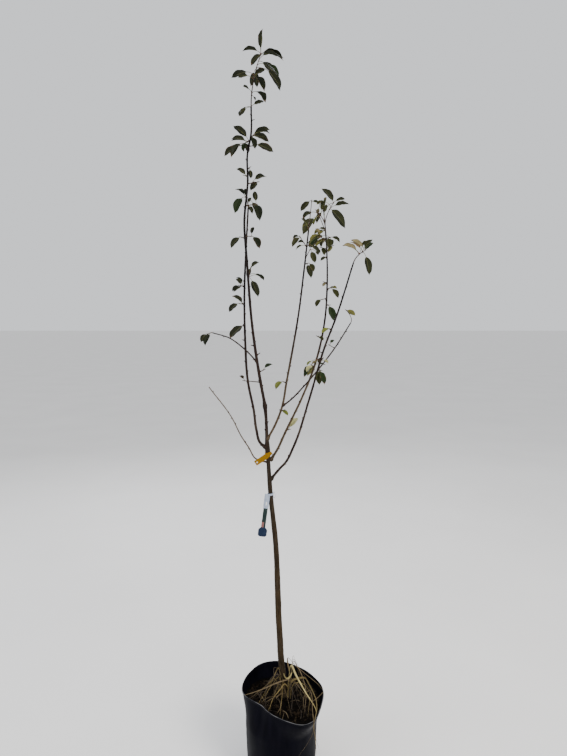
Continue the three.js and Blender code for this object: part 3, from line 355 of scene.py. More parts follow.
# Long blades that the photograph shows: width, kind and route
STRAW_ROUTES = [
    (6.2, 3, [(22, 6, 240), (24, 4, 318), (32, 2, 363), (47, -24, 348), (64, -52, 331),
              (78, -74, 321), (95, -92, 305), (108, -104, 287), (112, -108, 272)]),
    (6.6, 0, [(20, 4, 240), (27, 4, 290), (39, 0, 313), (55, -6, 323), (77, -18, 333),
              (91, -48, 331), (104, -84, 325), (111, -108, 317), (112, -124, 298), (106, -134, 275),
              (101, -139, 249), (106, -139, 219), (109, -141, 190), (109, -146, 160)]),
    (4.6, 1, [(26, 10, 240), (27, 8, 330), (23, 0, 392), (47, -2, 367), (72, -6, 347),
              (99, -12, 326), (123, -20, 309), (138, -28, 295)]),
    (3.8, 1, [(26, 2, 240), (30, 2, 296), (25, 0, 313), (5, -6, 314), (-26, -14, 308),
              (-53, -26, 303), (-88, -38, 297), (-128, -52, 293)]),
    (2.8, 1, [(14, 2, 240), (5, 1, 288), (-12, -6, 304), (-44, -16, 302), (-65, -28, 300),
              (-88, -46, 292), (-108, -60, 286)]),
    (3.6, 0, [(24, 2, 240), (20, 2, 290), (12, 0, 299), (-2, -14, 292), (-16, -34, 287),
              (-28, -46, 279), (-34, -58, 269), (-38, -68, 252)]),
    (3.0, 1, [(26, 30, 250), (11, -3, 268), (-19, -41, 282), (-51, -74, 286)]),
    (3.0, 1, [(12, 33, 250), (-8, -24, 276), (-16, -53, 284), (-7, -66, 284), (-3, -80, 276),
              (-13, -89, 262), (-25, -83, 254)]),
    (3.2, 0, [(28, 2, 240), (34, 2, 280), (41, 0, 299), (60, -10, 309), (81, -30, 312),
              (93, -60, 303), (89, -86, 286), (84, -98, 252)]),
    (1.6, 1, [(8, 6, 240), (0, 5, 322), (-15, 0, 355), (-23, -4, 360), (-24, -18, 333),
              (-24, -34, 296), (-23, -46, 252)]),
    (2.0, 2, [(28, 0, 240), (29, -2, 290), (34, -6, 304), (37, -24, 287), (35, -48, 266),
              (34, -70, 249)]),
    (4.0, 1, [(70, -52, 244), (79, -58, 306), (91, -64, 321), (99, -94, 315), (98, -120, 297),
              (101, -134, 274), (104, -139, 243), (108, -143, 213), (118, -150, 182)]),
    (1.8, 1, [(98, -116, 278), (101, -133, 266), (101, -139, 243), (85, -136, 198),
              (54, -138, 153)]),
    (1.7, 1, [(139, -30, 291), (118, -50, 284), (96, -62, 275), (84, -66, 250)]),
    (2.2, 1, [(5, -72, 256), (16, -86, 258), (24, -98, 248)]),
    (1.8, 2, [(-76, -34, 290), (-60, -66, 277), (-45, -84, 265), (-38, -90, 250)]),
    (3.6, 1, [(28, 8, 240), (35, 4, 356), (41, 2, 379), (56, -10, 363), (71, -30, 341),
              (80, -56, 316), (76, -90, 283), (70, -98, 250)]),
    (1.7, 2, [(6, 6, 240), (-4, 5, 330), (-22, -6, 335), (-38, -14, 324), (-50, -34, 306),
              (-52, -58, 283), (-50, -70, 250)]),
    (6.0, 3, [(8, 4, 334), (11, 2, 325), (16, 1, 319), (24, 0, 320), (31, 2, 328), (36, 4, 339)]),
]

# Tag and label, as in the model, then their drawn rows, bow, colours' limits and straps
TAG_HEIGHT = 954
TAG_CLEARANCE = 0.8
TAG_THICKNESS = 1.2
TAG_BAND = 6
TAG_LEAN = 13
TAG_SHIFT = 10
TAG_HALF_OUTLINE = [(8.5, 4), (8.5, -39), (7, -48), (7, -108), (14.5, -117), (14.5, -136),
                    (10.5, -140)]
TAG_ROW = 3.0
TAG_COLUMNS = (0.6, 0.86, 1)
TAG_ROWS = (-90, -112, -138.5)
TAG_SLOT = (-33.5, -22.5)
TAG_BOW = (2.2, 52)
TAG_CUP = 0.02
TAG_WHITE_ABOVE = -44
TAG_TEAL_ABOVE = -108
TAG_PINK_BELOW = -90
TAG_PINK_EDGE = 1.6
TAG_PAINTS = ("white", "teal", "navy", "pink")
TAG_SLOT_HALF = 1.5
TAG_LOOP_WIDTH = 6
TAG_LOOP_HEIGHT = 19
TAG_LOOP_DROP = 4
TAG_LOOP_THICKNESS = 1.2
TAG_LOOP_SQUARE = 2 / 3
TAG_LOOP_SUNK = 0.4
TAG_STANDOFF = 1.5
TAG_ROUNDED = 0.22
BRIDGE_ROWS = 9
BRIDGE_PAST = 2
BRIDGE_SWING = 0.9
BRIDGE_CORNERS = [(-0.5, -0.42), (-0.46, -0.5), (0.46, -0.5), (0.5, -0.42)]
LABEL_HEIGHT = 1088
LABEL_CLEARANCE = 0.9
LABEL_LENGTH = 64
LABEL_WIDTH = 17
LABEL_THICKNESS = 1
LABEL_BAND = 8
LABEL_SLOPE = 31
LABEL_CENTRE = (-14, -12)
LABEL_HOLE_RADIUS = 2.4
LABEL_HOLE_INSET = 7
LABEL_SIDES = 40
LABEL_BOW = 1.1
LABEL_BOW_MIDDLE = 0.6
# Rows from the hole to the edge: share of the way, and how far the rounded edge is cut
LABEL_PROFILE = [(0, 0.2), (0.012, 0), (0.3, 0), (0.65, 0), (0.985, 0), (1, 0.2)]
STRAP_ROWS = 56
STRAP_SIDES = 16
STRAP_EDGE = 0.35

# Floor, sky and soft lights in metres: each light's name, place, size, power and colour
FLOOR_SIZE = 600
WORLD_COLOUR = (0.93, 0.95, 0.98)
WORLD_STRENGTH = 1.0
LIGHT_AIM = (0, 0, 1.25)
LIGHTS = [
    ("key", (2.6, -2.4, 3.6), 2.2, 190, (1.0, 0.95, 0.88)),
    ("fill", (-3.0, -1.8, 2.2), 2.5, 45, (0.86, 0.92, 1.0)),
    ("rim", (-1.2, 3.2, 3.4), 2.2, 90, (0.95, 0.97, 1.0)),
]

# Drawn leaf: rows along its blade, columns across, relief and radii in mm, turns in degrees
BLADE_ROWS = 42
BLADE_COLUMNS = 15
BLADE_THICKNESS = 0.34
BLADE_PUFF = 0.42
PUFF_POWER = 0.6
PUFF_SUNK = 0.5
PUFF_START = 3.5
PUFF_END = 5
PUFF_FADE = 3
BLADE_CUP = 0.25
BLADE_TOOTH = 0.13
TOOTH_FADE = 4
TOOTH_LEAN = 0.35
BLADE_WAVE = 0.075
WAVE_START = 0.25
BLADE_SPREAD = 1.04
BLADE_ENDS = (0.008, 0.998)
BLADE_COLUMN_SPREAD = 1.15
BLADE_WAVES = (1.6, 2.9)
BLADE_TWIST = (-26, 26)
TWIST_ABOUT = 0.25
TIP_TURN = (-0.05, 0.05)
TIP_DROP = (0.0, 0.07)
TIP_START = 0.55
BLADE_BASE = 0.25
BLADE_BASE_RUN = 0.2
BLADE_LEAST = 0.004
BLADE_BODY = 0.64
BLADE_POINT = 0.75
BLADE_POINT_START = 0.78
VEIN_GAP = 5.5
VEIN_COUNTS = (6, 11)
VEIN_ANGLE = 48
VEIN_CURVE = 0.12
STALK_RADIUS = 0.85
STALK_TAPER = 0.14
STALK_FOOT = 0.55
STALK_FOOT_RUN = 1.6
STALK_ROWS = 12
STALK_RED_ROWS = 4
STALK_SIDES = 7
MIDRIB_RADIUS = 0.62
RIB_ROWS = 22
RIB_ENDS = (0.04, 0.88)
RIB_TAPER = 0.8
RIB_SUNK = 0.28
# Share of the leaves that are scorched, where that starts along and across the blade, and how
# ragged its limit is
SCORCHED_SHARE = 0.4
SCORCHED_TIP = (0.8, 0.95)
SCORCHED_EDGE = (0.84, 1.02)
SCORCHED_RAGGED = 0.07
SCORCHED_CELLS = (9, 2.2)

# Bark: distance between rows, sides, roughness by height or along a bough, and root buttresses
TRUNK_ROW = 1.6
LEADER_ROW = 2.4
LEADER_HEIGHT = 1150
TRUNK_SIDES = 44
BOUGH_ROW = 1.9
BOUGH_SIDES = 20
TRUNK_SUNK = 5
TRUNK_ROUGHNESS = ((242, 500, 1000, 1250, 1500), (1.0, 0.8, 0.5, 0.28, 0.16))
BOUGH_ROUGHNESS = (0.3, 0.14)
# Relief of the bark: cells of its swells, fissures, scales and grain in mm, and the depth of each
BARK_CELLS = [(15, 15, 34), (2.4, 2.4, 17), (5, 5, 7), (1.3, 1.3, 3.2)]
BARK_SWELL = 0.06
BARK_FISSURES = 0.5
BARK_SCALES = 0.34
BARK_GRAIN = (0.05, 0.07)
BARK_SEED = 900
BARK_SEED_STEP = 7
BUTTRESSES = 5
BUTTRESS_TURN = 0.7
BUTTRESS_DEPTH = 0.13
BUTTRESS_HEIGHT = 24
COLLAR_SHARE = 0.75
COLLAR_RUN = 7
# Swollen nodes of the young wood, their buds, and the lenticels
YOUNG_WOOD = 1165
NODE_START = 12
NODE_END = 9
NODE_GAP = 27
NODE_GAPS = (0.75, 1.25)
NODE_TURN = 144
NODE_TURNS = (-14, 14)
NODE_SWELL = 0.55
NODE_FULL_RADIUS = 3
NODE_RUN = 2.6
NODE_BACK = 0.35
BUD_LENGTH = 4.6
BUD_WIDTH = 2.3
BUD_SIZES = (0.8, 1.15)
BUD_RAISED = 0.2
BUD_STANDOFF = 0.25
END_BUD = (5.2, 2.4)
END_BUD_SUNK = 0.4
BUD_ROWS = 8
BUD_LEAN = (0.88, 0.42)
BUD_GIRTH = ([0, 0.12, 0.35, 0.65, 0.88, 1], [0.6, 0.92, 1, 0.74, 0.34, 0.04])
BUD_SCALE_DEPTH = 0.09
BUD_SCALE_TURN = 15
LENTICEL_GAP = 5.2
BOUGH_LENTICELS = 0.35
LENTICEL_RISE = 0.34
LENTICEL_LENGTH = 1.1
LENTICEL_WIDTH = (0.9, 2.1)
# Stubs: the callus as share of the radius, place and spread, rounds as share and turns a mm, the
# rounded edge, and the cut's two ends as place past the stub and share of its radius
STUB_ROWS = 22
STUB_SIDES = 14
STUB_CALLUS = (0.55, 0.4, 1.9)
STUB_ROUNDS = (0.1, 2.6)
STUB_EDGE = 0.8
STUB_END = 0.8
STUB_TAPER = 0.86
STUB_CUT = [(-0.3, 0.72), (0.25, 0.6)]
# Twigs: scale scars as depth, turns a mm, place and spread, the collar, and the leaves' nodes
TWIG_ROW = 1.1
TWIG_LEAST_ROWS = 10
TWIG_SIDES = 12
TWIG_SCARS = (0.16, 3.3, 4, 4.5)
TWIG_COLLAR = (0.8, 0.5, 2.2)
TWIG_NODES = (0.5, 1.7)
# Young wood is drawn a little fuller than its solid, as in the photograph: how much and where
SKIN_FULLER = 0.55
SKIN_FULLER_FROM = 1150
SKIN_FULLER_RUN = 320

# Colours, linear: bark
SOILED = (0.030, 0.022, 0.015)
GOLDEN = (0.040, 0.024, 0.009)
OLIVE_BROWN = (0.028, 0.018, 0.009)
GREY_BROWN = (0.026, 0.018, 0.011)
RED_BROWN = (0.022, 0.011, 0.008)
DARK_BROWN = (0.006, 0.004, 0.0035)
TAN_GREY = (0.105, 0.074, 0.046)
TAN_BROWN = (0.082, 0.055, 0.030)
TRUNK_COLOURS = [(0.236, SOILED), (0.262, GREY_BROWN), (0.36, OLIVE_BROWN), (0.55, GOLDEN),
                 (0.85, OLIVE_BROWN), (1.05, GREY_BROWN), (1.14, RED_BROWN), (1.45, RED_BROWN),
                 (1.75, DARK_BROWN), (2.20, DARK_BROWN)]
BOUGH_COLOURS = [(1.00, GREY_BROWN), (1.05, RED_BROWN), (1.36, RED_BROWN), (1.62, DARK_BROWN),
                 (1.90, RED_BROWN)]
LIGHT_COLOURS = [(1.04, GREY_BROWN), (1.12, TAN_BROWN), (1.30, TAN_BROWN), (1.46, RED_BROWN),
                 (1.70, DARK_BROWN), (1.90, RED_BROWN)]
PALE_COLOURS = [(1.03, GREY_BROWN), (1.10, TAN_GREY), (1.40, TAN_GREY)]
# Each bark: its colour by height in metres, the colour of its patches, its range of roughness and
# the scale of its streaks. Then the limbs that don't have the common bark of the boughs
BARKS = {
    "trunk_bark": (TRUNK_COLOURS, (0.044, 0.034, 0.023), (0.55, 0.8), 260),
    "bough_bark": (BOUGH_COLOURS, (0.062, 0.045, 0.031), (0.42, 0.7), 420),
    "light_bark": (LIGHT_COLOURS, (0.080, 0.058, 0.038), (0.42, 0.7), 420),
    "pale_bark": (PALE_COLOURS, (0.130, 0.098, 0.074), (0.42, 0.7), 420),
}
OWN_BARKS = {"trunk": "trunk_bark", "bough_inner": "light_bark", "bough_right_back": "light_bark",
             "bough_low_left": "pale_bark"}
# Bark patterns. A noise is its scale in cells a metre, detail, stretch and distortion. A range is
# two values of a noise, or two heights in metres, and how much of the pattern shows at each
BARK_SPECULAR = 0.09
BARK_FADING = (1.2, 1.55, 1.0, 0.15)
BLOTCH_NOISE = (46, 5, (1, 1, 0.35), 0.4)
BLOTCH_COVER = (0.5, 0.68, 0.0, 0.75)
STREAK_STRETCH = (1, 1, 0.11)
STREAK_SHADE = (0.36, 0.62, 0.42, 1.0)
LENTICEL_SCALE = 190
LENTICEL_STRETCH = (1, 1, 1.9)
LENTICEL_COVER = (0.17, 0.24, 0.55, 0.0)

# Pot plastic, linear
POT_COLOURS = ((0.0014, 0.0013, 0.0024), (0.0032, 0.0029, 0.0052))
POT_SPECULAR = 0.03
POT_SPECULAR_TINT = (0.5, 0.6, 1.0)
POT_DUST = 0.10
DUST_COLOUR = (0.020, 0.013, 0.010)
# Small finishes: two colours, scale, range of roughness, grain, then where they aren't the usual
# the bump's strength and depth in metres, and the stretch
FINISH_LOOKS = {
    "cut_wood": (((0.10, 0.07, 0.045), (0.19, 0.14, 0.09)), 300, (0.7, 0.9), 900),
    "twig_bark": (((0.024, 0.015, 0.010), (0.052, 0.034, 0.022)), 140, (0.42, 0.65), 800,
                  0.4, 0.0004, (1, 1, 0.4)),
    "bud_brown": (((0.024, 0.014, 0.010), (0.052, 0.032, 0.022)), 400, (0.5, 0.75), 1200),
    "stalk_green": (((0.070, 0.074, 0.024), (0.120, 0.115, 0.040)), 180, (0.4, 0.6), 900),
    "stalk_red": (((0.060, 0.026, 0.016), (0.105, 0.050, 0.026)), 180, (0.4, 0.6), 900),
    "tag_white": (((0.26, 0.30, 0.38), (0.35, 0.40, 0.49)), 120, (0.3, 0.5), 700, 0.15, 0.0002),
    "tag_teal": (((0.012, 0.022, 0.021), (0.020, 0.034, 0.032)), 120, (0.28, 0.45), 700,
                 0.15, 0.0002),
    "tag_navy": (((0.007, 0.015, 0.036), (0.014, 0.026, 0.055)), 120, (0.28, 0.45), 700,
                 0.15, 0.0002),
    "tag_pink": (((0.17, 0.075, 0.070), (0.24, 0.110, 0.100)), 120, (0.3, 0.5), 700, 0.15, 0.0002),
    "label_yellow": (((0.168, 0.082, 0.001), (0.225, 0.114, 0.002)), 100, (0.35, 0.55), 700,
                     0.2, 0.0002),
    "floor_pale": (((0.80, 0.79, 0.78), (0.84, 0.83, 0.82)), 1.2, (0.8, 0.9), 60, 0.05, 0.001),
}
# Tints of the leaves: base and darker mottle
OLIVE_TINTS = {
    # The dark tint is partly painted shade: it makes the leaves of the leader and the left near
    # black, as leaves look with bright sky behind them
    "dark": ((0.010, 0.013, 0.005), (0.006, 0.008, 0.003)),
    "brown": ((0.022, 0.015, 0.007), (0.014, 0.010, 0.005)),
    "green": ((0.012, 0.021, 0.006), (0.008, 0.014, 0.004)),
    "russet": ((0.034, 0.020, 0.010), (0.022, 0.013, 0.007)),
}
YELLOW_TINTS = {
    "olive": ((0.028, 0.030, 0.008), (0.017, 0.018, 0.005)),
    "lime": ((0.115, 0.128, 0.024), (0.078, 0.088, 0.018)),
    "gold": ((0.230, 0.150, 0.030), (0.145, 0.092, 0.020)),
    "tan": ((0.130, 0.082, 0.040), (0.078, 0.049, 0.025)),
    "green": ((0.013, 0.024, 0.006), (0.009, 0.016, 0.004)),
    # The pale tint is partly a painted highlight: it makes whole leaves a whitish cream, as glossy
    # leaves look where light glints on them
    "pale": ((0.330, 0.320, 0.150), (0.230, 0.225, 0.105)),
}
LEAF_SCORCHED = ((0.075, 0.042, 0.020), (0.042, 0.024, 0.013))
# Kinds of leaves: tints, the deal that they are drawn from, underside, and paler undersides with
# the tints that have them
LEAF_KINDS = {
    "olive": (OLIVE_TINTS, ("dark", "dark", "brown", "green", "dark", "brown", "russet"),
              ((0.019, 0.021, 0.010), (0.012, 0.014, 0.007)), {}),
    "yellow": (YELLOW_TINTS,
               ("olive", "green", "olive", "lime", "green", "olive", "olive", "green"),
               ((0.023, 0.026, 0.010), (0.015, 0.017, 0.007)),
               {"lime": (("lime", "gold"), ((0.125, 0.118, 0.028), (0.083, 0.080, 0.021))),
                # The pale underside of the tan and pale leaves carries the painted highlight of the
                # pale ones
                "pale": (("tan", "pale"), ((0.210, 0.175, 0.088), (0.145, 0.118, 0.060)))}),
}
# Leaves whose tint the photograph shows plainly
OWN_TINTS = {
    "leaves_inner_fork": ("lime",), "leaves_back_foot": ("pale",), "leaves_cross_tip": ("lime",),
    "leaves_front_hanging": ("green",), "leaves_back_crossing": ("pale", "olive"),
    "leaves_back_hanging": ("green",), "leaves_front_tip": ("pale", "tan", "olive", "green"),
    "leaves_inner_right": ("olive",), "leaves_back_low_left": ("olive",),
    "leaves_left_tip": ("dark", "green", "dark", "brown"),
    "leaves_mid_right": ("dark", "dark", "dark", "green"),
    "leaves_inner_low": ("lime",), "leaves_inner_high": ("gold", "olive"),
}


# Small helpers
def vec(*values):
    return np.array(values, float)


def unit(v):
    return v / np.linalg.norm(v, axis=-1, keepdims=True)


def mix(a, b, t):
    return a + (b - a) * t


def smooth(t):
    t = np.clip(t, 0, 1)
    return t * t * (3 - 2 * t)


def bump_at(x, middle, spread):
    return np.exp(-(((x - middle) / spread) ** 2))


def grid(*values):
    """Points from their coordinates, each a number or an array"""
    return np.stack(np.broadcast_arrays(*values), -1)


def curve(start, bend, end, t):
    """Point at a share of a curve that is pulled towards its bend"""
    return start * (1 - t) ** 2 + bend * 2 * t * (1 - t) + end * t * t


def chance(seed):
    """Repeatable random numbers from 0 to 1, the same as in the model's source"""
    state = (seed * 2654435761) & 0xFFFFFFFF

    def draw(low=0.0, high=1.0):
        nonlocal state
        state = (state * 1664525 + 1013904223) & 0xFFFFFFFF
        return mix(low, high, state / 4294967296)
    return draw


def noise(points, seed):
    """Smooth noise from -1 to 1 on a lattice of whole numbers"""
    cell = np.floor(points)
    part = points - cell
    weight = part * part * (3 - 2 * part)
    cell = cell.astype(np.int64)
    total = 0
    for corner in np.ndindex(2, 2, 2):
        at = cell + corner
        key = (at[..., 0] * 374761393 + at[..., 1] * 668265263 + at[..., 2] * 2147483647
               + seed * 1013904223) & 0xFFFFFFFF
        key = ((key ^ (key >> 13)) * 1274126177) & 0xFFFFFFFF
        key = key ^ (key >> 16)
        share = np.prod(np.where(corner, weight, 1 - weight), axis=-1)
        total = total + share * (key / 2147483648 - 1)
    return total


def ring_faces(rows, sides, closed=False):
    """Triangles between neighbouring rings of equal count"""
    k = np.arange(rows if closed else rows - 1)[:, None] * sides
    s = np.arange(sides)[None, :]
    following = (s + 1) % sides
    count = rows * sides
    a, b = k + s, k + following
    c, d = (k + sides + following) % count, (k + sides + s) % count
    return np.stack([a, b, c, a, c, d], axis=-1).reshape(-1, 3)


def outward(points, faces):
    """The faces of a closed mesh, turned so that they point out"""
    a, b, c = (points[faces[:, i]] for i in range(3))
    volume = np.einsum("ij,ij->", a - points[0], np.cross(b - points[0], c - points[0]))
    return faces[:, ::-1] if volume < 0 else faces


def add_object(name, data):
    made = bpy.data.objects.new(name, data)
    bpy.context.scene.collection.objects.link(made)
    return made


class Heap:
    """Points and triangles of one piece, with the number of a material for each triangle"""

    def __init__(self):
        self.points, self.faces, self.paints, self.count = [], [], [], 0

    def add(self, made, paint=0):
        points, faces = made
        self.points.append(points)
        self.faces.append(outward(points, faces) + self.count)
        self.paints.append(np.broadcast_to(paint, len(faces)))
        self.count += len(points)

    def piece(self, name, materials, slot, *nodes, sharp=50):
        """Mesh that rides on the body and stands for the nodes, with the given materials. The slot
        is not used
        """
        mesh = bpy.data.meshes.new(name)
        points, faces = np.concatenate(self.points) * MM, np.concatenate(self.faces)
        mesh.vertices.add(len(points))
        mesh.loops.add(faces.size)
        mesh.polygons.add(len(faces))
        for items, key, values in (
                (mesh.vertices, "co", points), (mesh.loops, "vertex_index", faces.astype(np.int32)),
                (mesh.polygons, "loop_start", np.arange(0, faces.size, 3, dtype=np.int32)),
                (mesh.polygons, "material_index", np.concatenate(self.paints).astype(np.int32)),
                (mesh.polygons, "use_smooth", np.ones(len(faces), bool))):
            items.foreach_set(key, values.ravel())
        mesh.update(calc_edges=True)
        mesh.validate()
        mesh.set_sharp_from_angle(angle=math.radians(sharp))
        for material in materials:
            mesh.materials.append(material)
        made = add_object(name, mesh)
        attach(made, "root")
        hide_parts(*nodes)
        return made


def skin(rings, closed=False):
    """Closed skin over rings of points, with a middle point at each end that doesn't join up"""
    rows, sides = rings.shape[:2]
    points = rings.reshape(-1, 3)
    faces = ring_faces(rows, sides, closed)
    if not closed:
        points = np.vstack([points, rings[0].mean(0), rings[-1].mean(0)])
        s = np.arange(sides)
        following = (s + 1) % sides
        first = np.full(sides, rows * sides)
        top = (rows - 1) * sides
        faces = np.vstack([faces, np.stack([first, following, s], -1),
                           np.stack([first + 1, top + s, top + following], -1)])
    return points, faces


def sweep(centres, across, beside, shape, closed=False):
    """A ring of points round each centre, joined into a closed skin. A shape is offsets across and
    beside the centre line, for each ring or for all of them"""
    shape = np.broadcast_to(shape, (len(centres), shape.shape[-2], 2))
    rings = centres[:, None] + across[:, None] * shape[..., :1] + beside[:, None] * shape[..., 1:]
    return skin(rings, closed)


def frames(centres, start):
    """Directions across and beside a centre line, which turn with it and don't twist"""
    ahead = unit(np.gradient(centres, axis=0))
    across = np.empty_like(centres)
    current = np.array(start, float)
    for k, direction in enumerate(ahead):
        current = current - direction * current.dot(direction)
        current /= np.linalg.norm(current)
        across[k] = current
    return ahead, across, np.cross(ahead, across)


def circle(sides):
    """Angles round a circle, and the point of the unit circle at each"""
    angle = TURN * np.arange(sides) / sides
    return angle, np.stack([np.cos(angle), np.sin(angle)], -1)


def tube(centres, radii, sides=8):
    """Closed round tube. Radii are for each ring, or for each point of each ring"""
    start = np.eye(3)[int(np.argmin(np.abs(centres[-1] - centres[0])))]
    _, across, beside = frames(centres, start)
    radii = np.asarray(radii, float)
    radii = radii[:, None] if radii.ndim == 1 else radii
    return sweep(centres, across, beside, circle(sides)[1] * radii[..., None])


def heading(bearing, turn):
    """Direction from a bearing as seen from the front and a turn in depth"""
    b, t = math.radians(bearing), math.radians(turn)
    return vec(math.cos(b) * math.cos(t), math.sin(t), math.sin(b) * math.cos(t))


def sighted_run(start, bearing, seen, turn):
    """Run from a point to one that is seen at a bearing and a distance from it, once that point has
    moved along the line of sight as far as the turn takes it nearer or farther"""
    end = start + heading(bearing, 0) * seen
    sight = end - vec(*EYE)
    return end + sight * (seen * math.tan(math.radians(turn)) / sight[1]) - start


class Line:
    """Smooth line through route points, with a slope at each point from its neighbours"""

    def __init__(self, route):
        p = self.points = np.array(route, float)
        d = self.spans = np.linalg.norm(np.diff(p, axis=0), axis=1)
        self.slopes = np.empty_like(p)
        self.slopes[0] = (p[1] - p[0]) / d[0]
        self.slopes[-1] = (p[-1] - p[-2]) / d[-1]
        for i in range(1, len(p) - 1):
            before = (p[i] - p[i - 1]) * (d[i] / d[i - 1])
            after = (p[i + 1] - p[i]) * (d[i - 1] / d[i])
            self.slopes[i] = (before + after) / (d[i - 1] + d[i])
        self.total = d.sum()

    def at(self, shares):
        distance = np.atleast_1d(np.asarray(shares, float)) * self.total
        ends = np.cumsum(self.spans)
        i = np.minimum(np.searchsorted(ends, distance), len(self.spans) - 1)
        span = self.spans[i][:, None]
        t = (distance - ends[i] + self.spans[i])[:, None] / span
        t2, t3 = t * t, t * t * t
        return (self.points[i] * (2 * t3 - 3 * t2 + 1) + self.slopes[i] * (t3 - 2 * t2 + t) * span
                + self.points[i + 1] * (3 * t2 - 2 * t3) + self.slopes[i + 1] * (t3 - t2) * span)


# Materials
def add_node(tree, kind, inputs, output=0, **settings):
    """New node with its own settings and each input linked or set. Gives one of its outputs"""
    node = tree.nodes.new("ShaderNode" + kind)
    for key, value in settings.items():
        setattr(node, key, value)
    for key, value in inputs.items():
        if isinstance(value, bpy.types.NodeSocket):
            tree.links.new(value, node.inputs[key])
        else:
            node.inputs[key].default_value = value
    return node.outputs[output]


def object_place(tree):
    return add_node(tree, "TexCoord", {}, "Object")


def link_ramp(tree, factor, stops):
    ramp = tree.nodes.new("ShaderNodeValToRGB")
    tree.links.new(factor, ramp.inputs[0])
    elements = ramp.color_ramp.elements
    while len(elements) < len(stops):
        elements.new(0.5)
    for element, (place, colour) in zip(elements, stops):
        element.position = place
        element.color = (*colour, 1)
    return ramp.outputs[0]


def link_noise(tree, scale, detail=4, stretch=(1, 1, 1), distortion=0.0):
    """Noise in the object's own space, scale in cells a metre"""
    place = add_node(tree, "Mapping", {0: object_place(tree), "Scale": stretch})
    return add_node(tree, "TexNoise", {"Vector": place, "Scale": scale, "Detail": detail,
                                       "Distortion": distortion})


def link_mix(tree, factor, a, b, blend="MIX"):
    a, b = ((*side, 1) if isinstance(side, tuple) else side for side in (a, b))
    return add_node(tree, "Mix", {0: factor, 6: a, 7: b}, 2, data_type="RGBA", blend_type=blend)


def link_range(tree, value, low, high, to_low, to_high):
    return add_node(tree, "MapRange", {0: value, 1: low, 2: high, 3: to_low, 4: to_high})


def link_product(tree, a, b):
    return add_node(tree, "Math", {0: a, 1: b}, operation="MULTIPLY")


def new_material(name, specular, tint=(1, 1, 1)):
    material = bpy.data.materials.new(name)
    material.use_nodes = True
    shader = material.node_tree.nodes["Principled BSDF"]
    shader.inputs["Specular IOR Level"].default_value = specular
    shader.inputs["Specular Tint"].default_value = (*tint, 1)
    return material, material.node_tree


def finish_surface(tree, colour, mottle, rough, grain, strength, distance):
    """Colour, roughness that varies with a noise, and a bump from a finer one"""
    shader = tree.nodes["Principled BSDF"]
    bump = add_node(tree, "Bump", {"Strength": strength, "Distance": distance, "Height": grain})
    for name, value in (("Base Color", colour), ("Normal", bump),
                        ("Roughness", link_range(tree, mottle, 0.3, 0.7, *rough))):
        tree.links.new(value, shader.inputs[name])


def plain_material(name, colours, scale, rough, grain_scale, strength=0.4, distance=0.0004,
                   stretch=(1, 1, 1), specular=0.08, distortion=0.0, reach=(0.3, 0.7)):
    """Mottle between two colours, with its own roughness and grain"""
    material, tree = new_material(name, specular)
    mottle = link_noise(tree, scale, stretch=stretch, distortion=distortion)
    finish_surface(tree, link_ramp(tree, mottle, list(zip(reach, colours))), mottle, rough,
                   link_noise(tree, grain_scale, 3, stretch), strength, distance)
    return material


def bark_material(name, by_height, patch, rough, streak_scale):
    """Bark whose colour goes with height, under patches, long streaks and lenticels"""
    material, tree = new_material(name, BARK_SPECULAR)
    place = object_place(tree)
    z = add_node(tree, "SeparateXYZ", {0: place}, 2)
    low, high = by_height[0][0], by_height[-1][0]
    stops = [((height - low) / (high - low), colour) for height, colour in by_height]
    base = link_ramp(tree, link_range(tree, z, low, high, 0.0, 1.0), stops)
    fading = link_range(tree, z, *BARK_FADING)
    blotch = link_noise(tree, *BLOTCH_NOISE)
    cover = link_product(tree, link_range(tree, blotch, *BLOTCH_COVER), fading)
    streak = link_noise(tree, streak_scale, stretch=STREAK_STRETCH)
    shade = link_mix(tree, 1.0, link_mix(tree, cover, base, patch),
                     link_range(tree, streak, *STREAK_SHADE), "MULTIPLY")
    dots = add_node(tree, "Mapping", {0: place, "Scale": LENTICEL_STRETCH})
    dots = add_node(tree, "TexVoronoi", {"Vector": dots, "Scale": LENTICEL_SCALE}, "Distance")
    spots = link_product(tree, link_range(tree, dots, *LENTICEL_COVER), fading)
    finish_surface(tree, link_mix(tree, spots, shade, TAN_GREY), blotch, rough, streak, 0.5, 0.0006)
    return material


def leaf_material(name, light, dark):
    """Leathery leaf: a soft mottle of one tint, fine grain and a dull gloss"""
    return plain_material(name, (dark, light), 70, (0.42, 0.62), 850, 0.3, 0.0003,
                          distortion=0.3, reach=(0.32, 0.62))


def pot_material():
    """Thin satin black plastic with long flow streaks, scuffs and a film of dust"""
    material, tree = new_material("pot_black", POT_SPECULAR, POT_SPECULAR_TINT)
    streak = link_noise(tree, 60, 3, (1, 1, 0.12))
    dust = link_noise(tree, 9, 6, (1, 1, 1), 0.6)
    base = link_ramp(tree, streak, list(zip((0.3, 0.7), POT_COLOURS)))
    colour = link_mix(tree, link_range(tree, dust, 0.55, 0.8, 0.0, POT_DUST), base, DUST_COLOUR)
    finish_surface(tree, colour, dust, (0.36, 0.52), streak, 0.25, 0.0005)
    return material


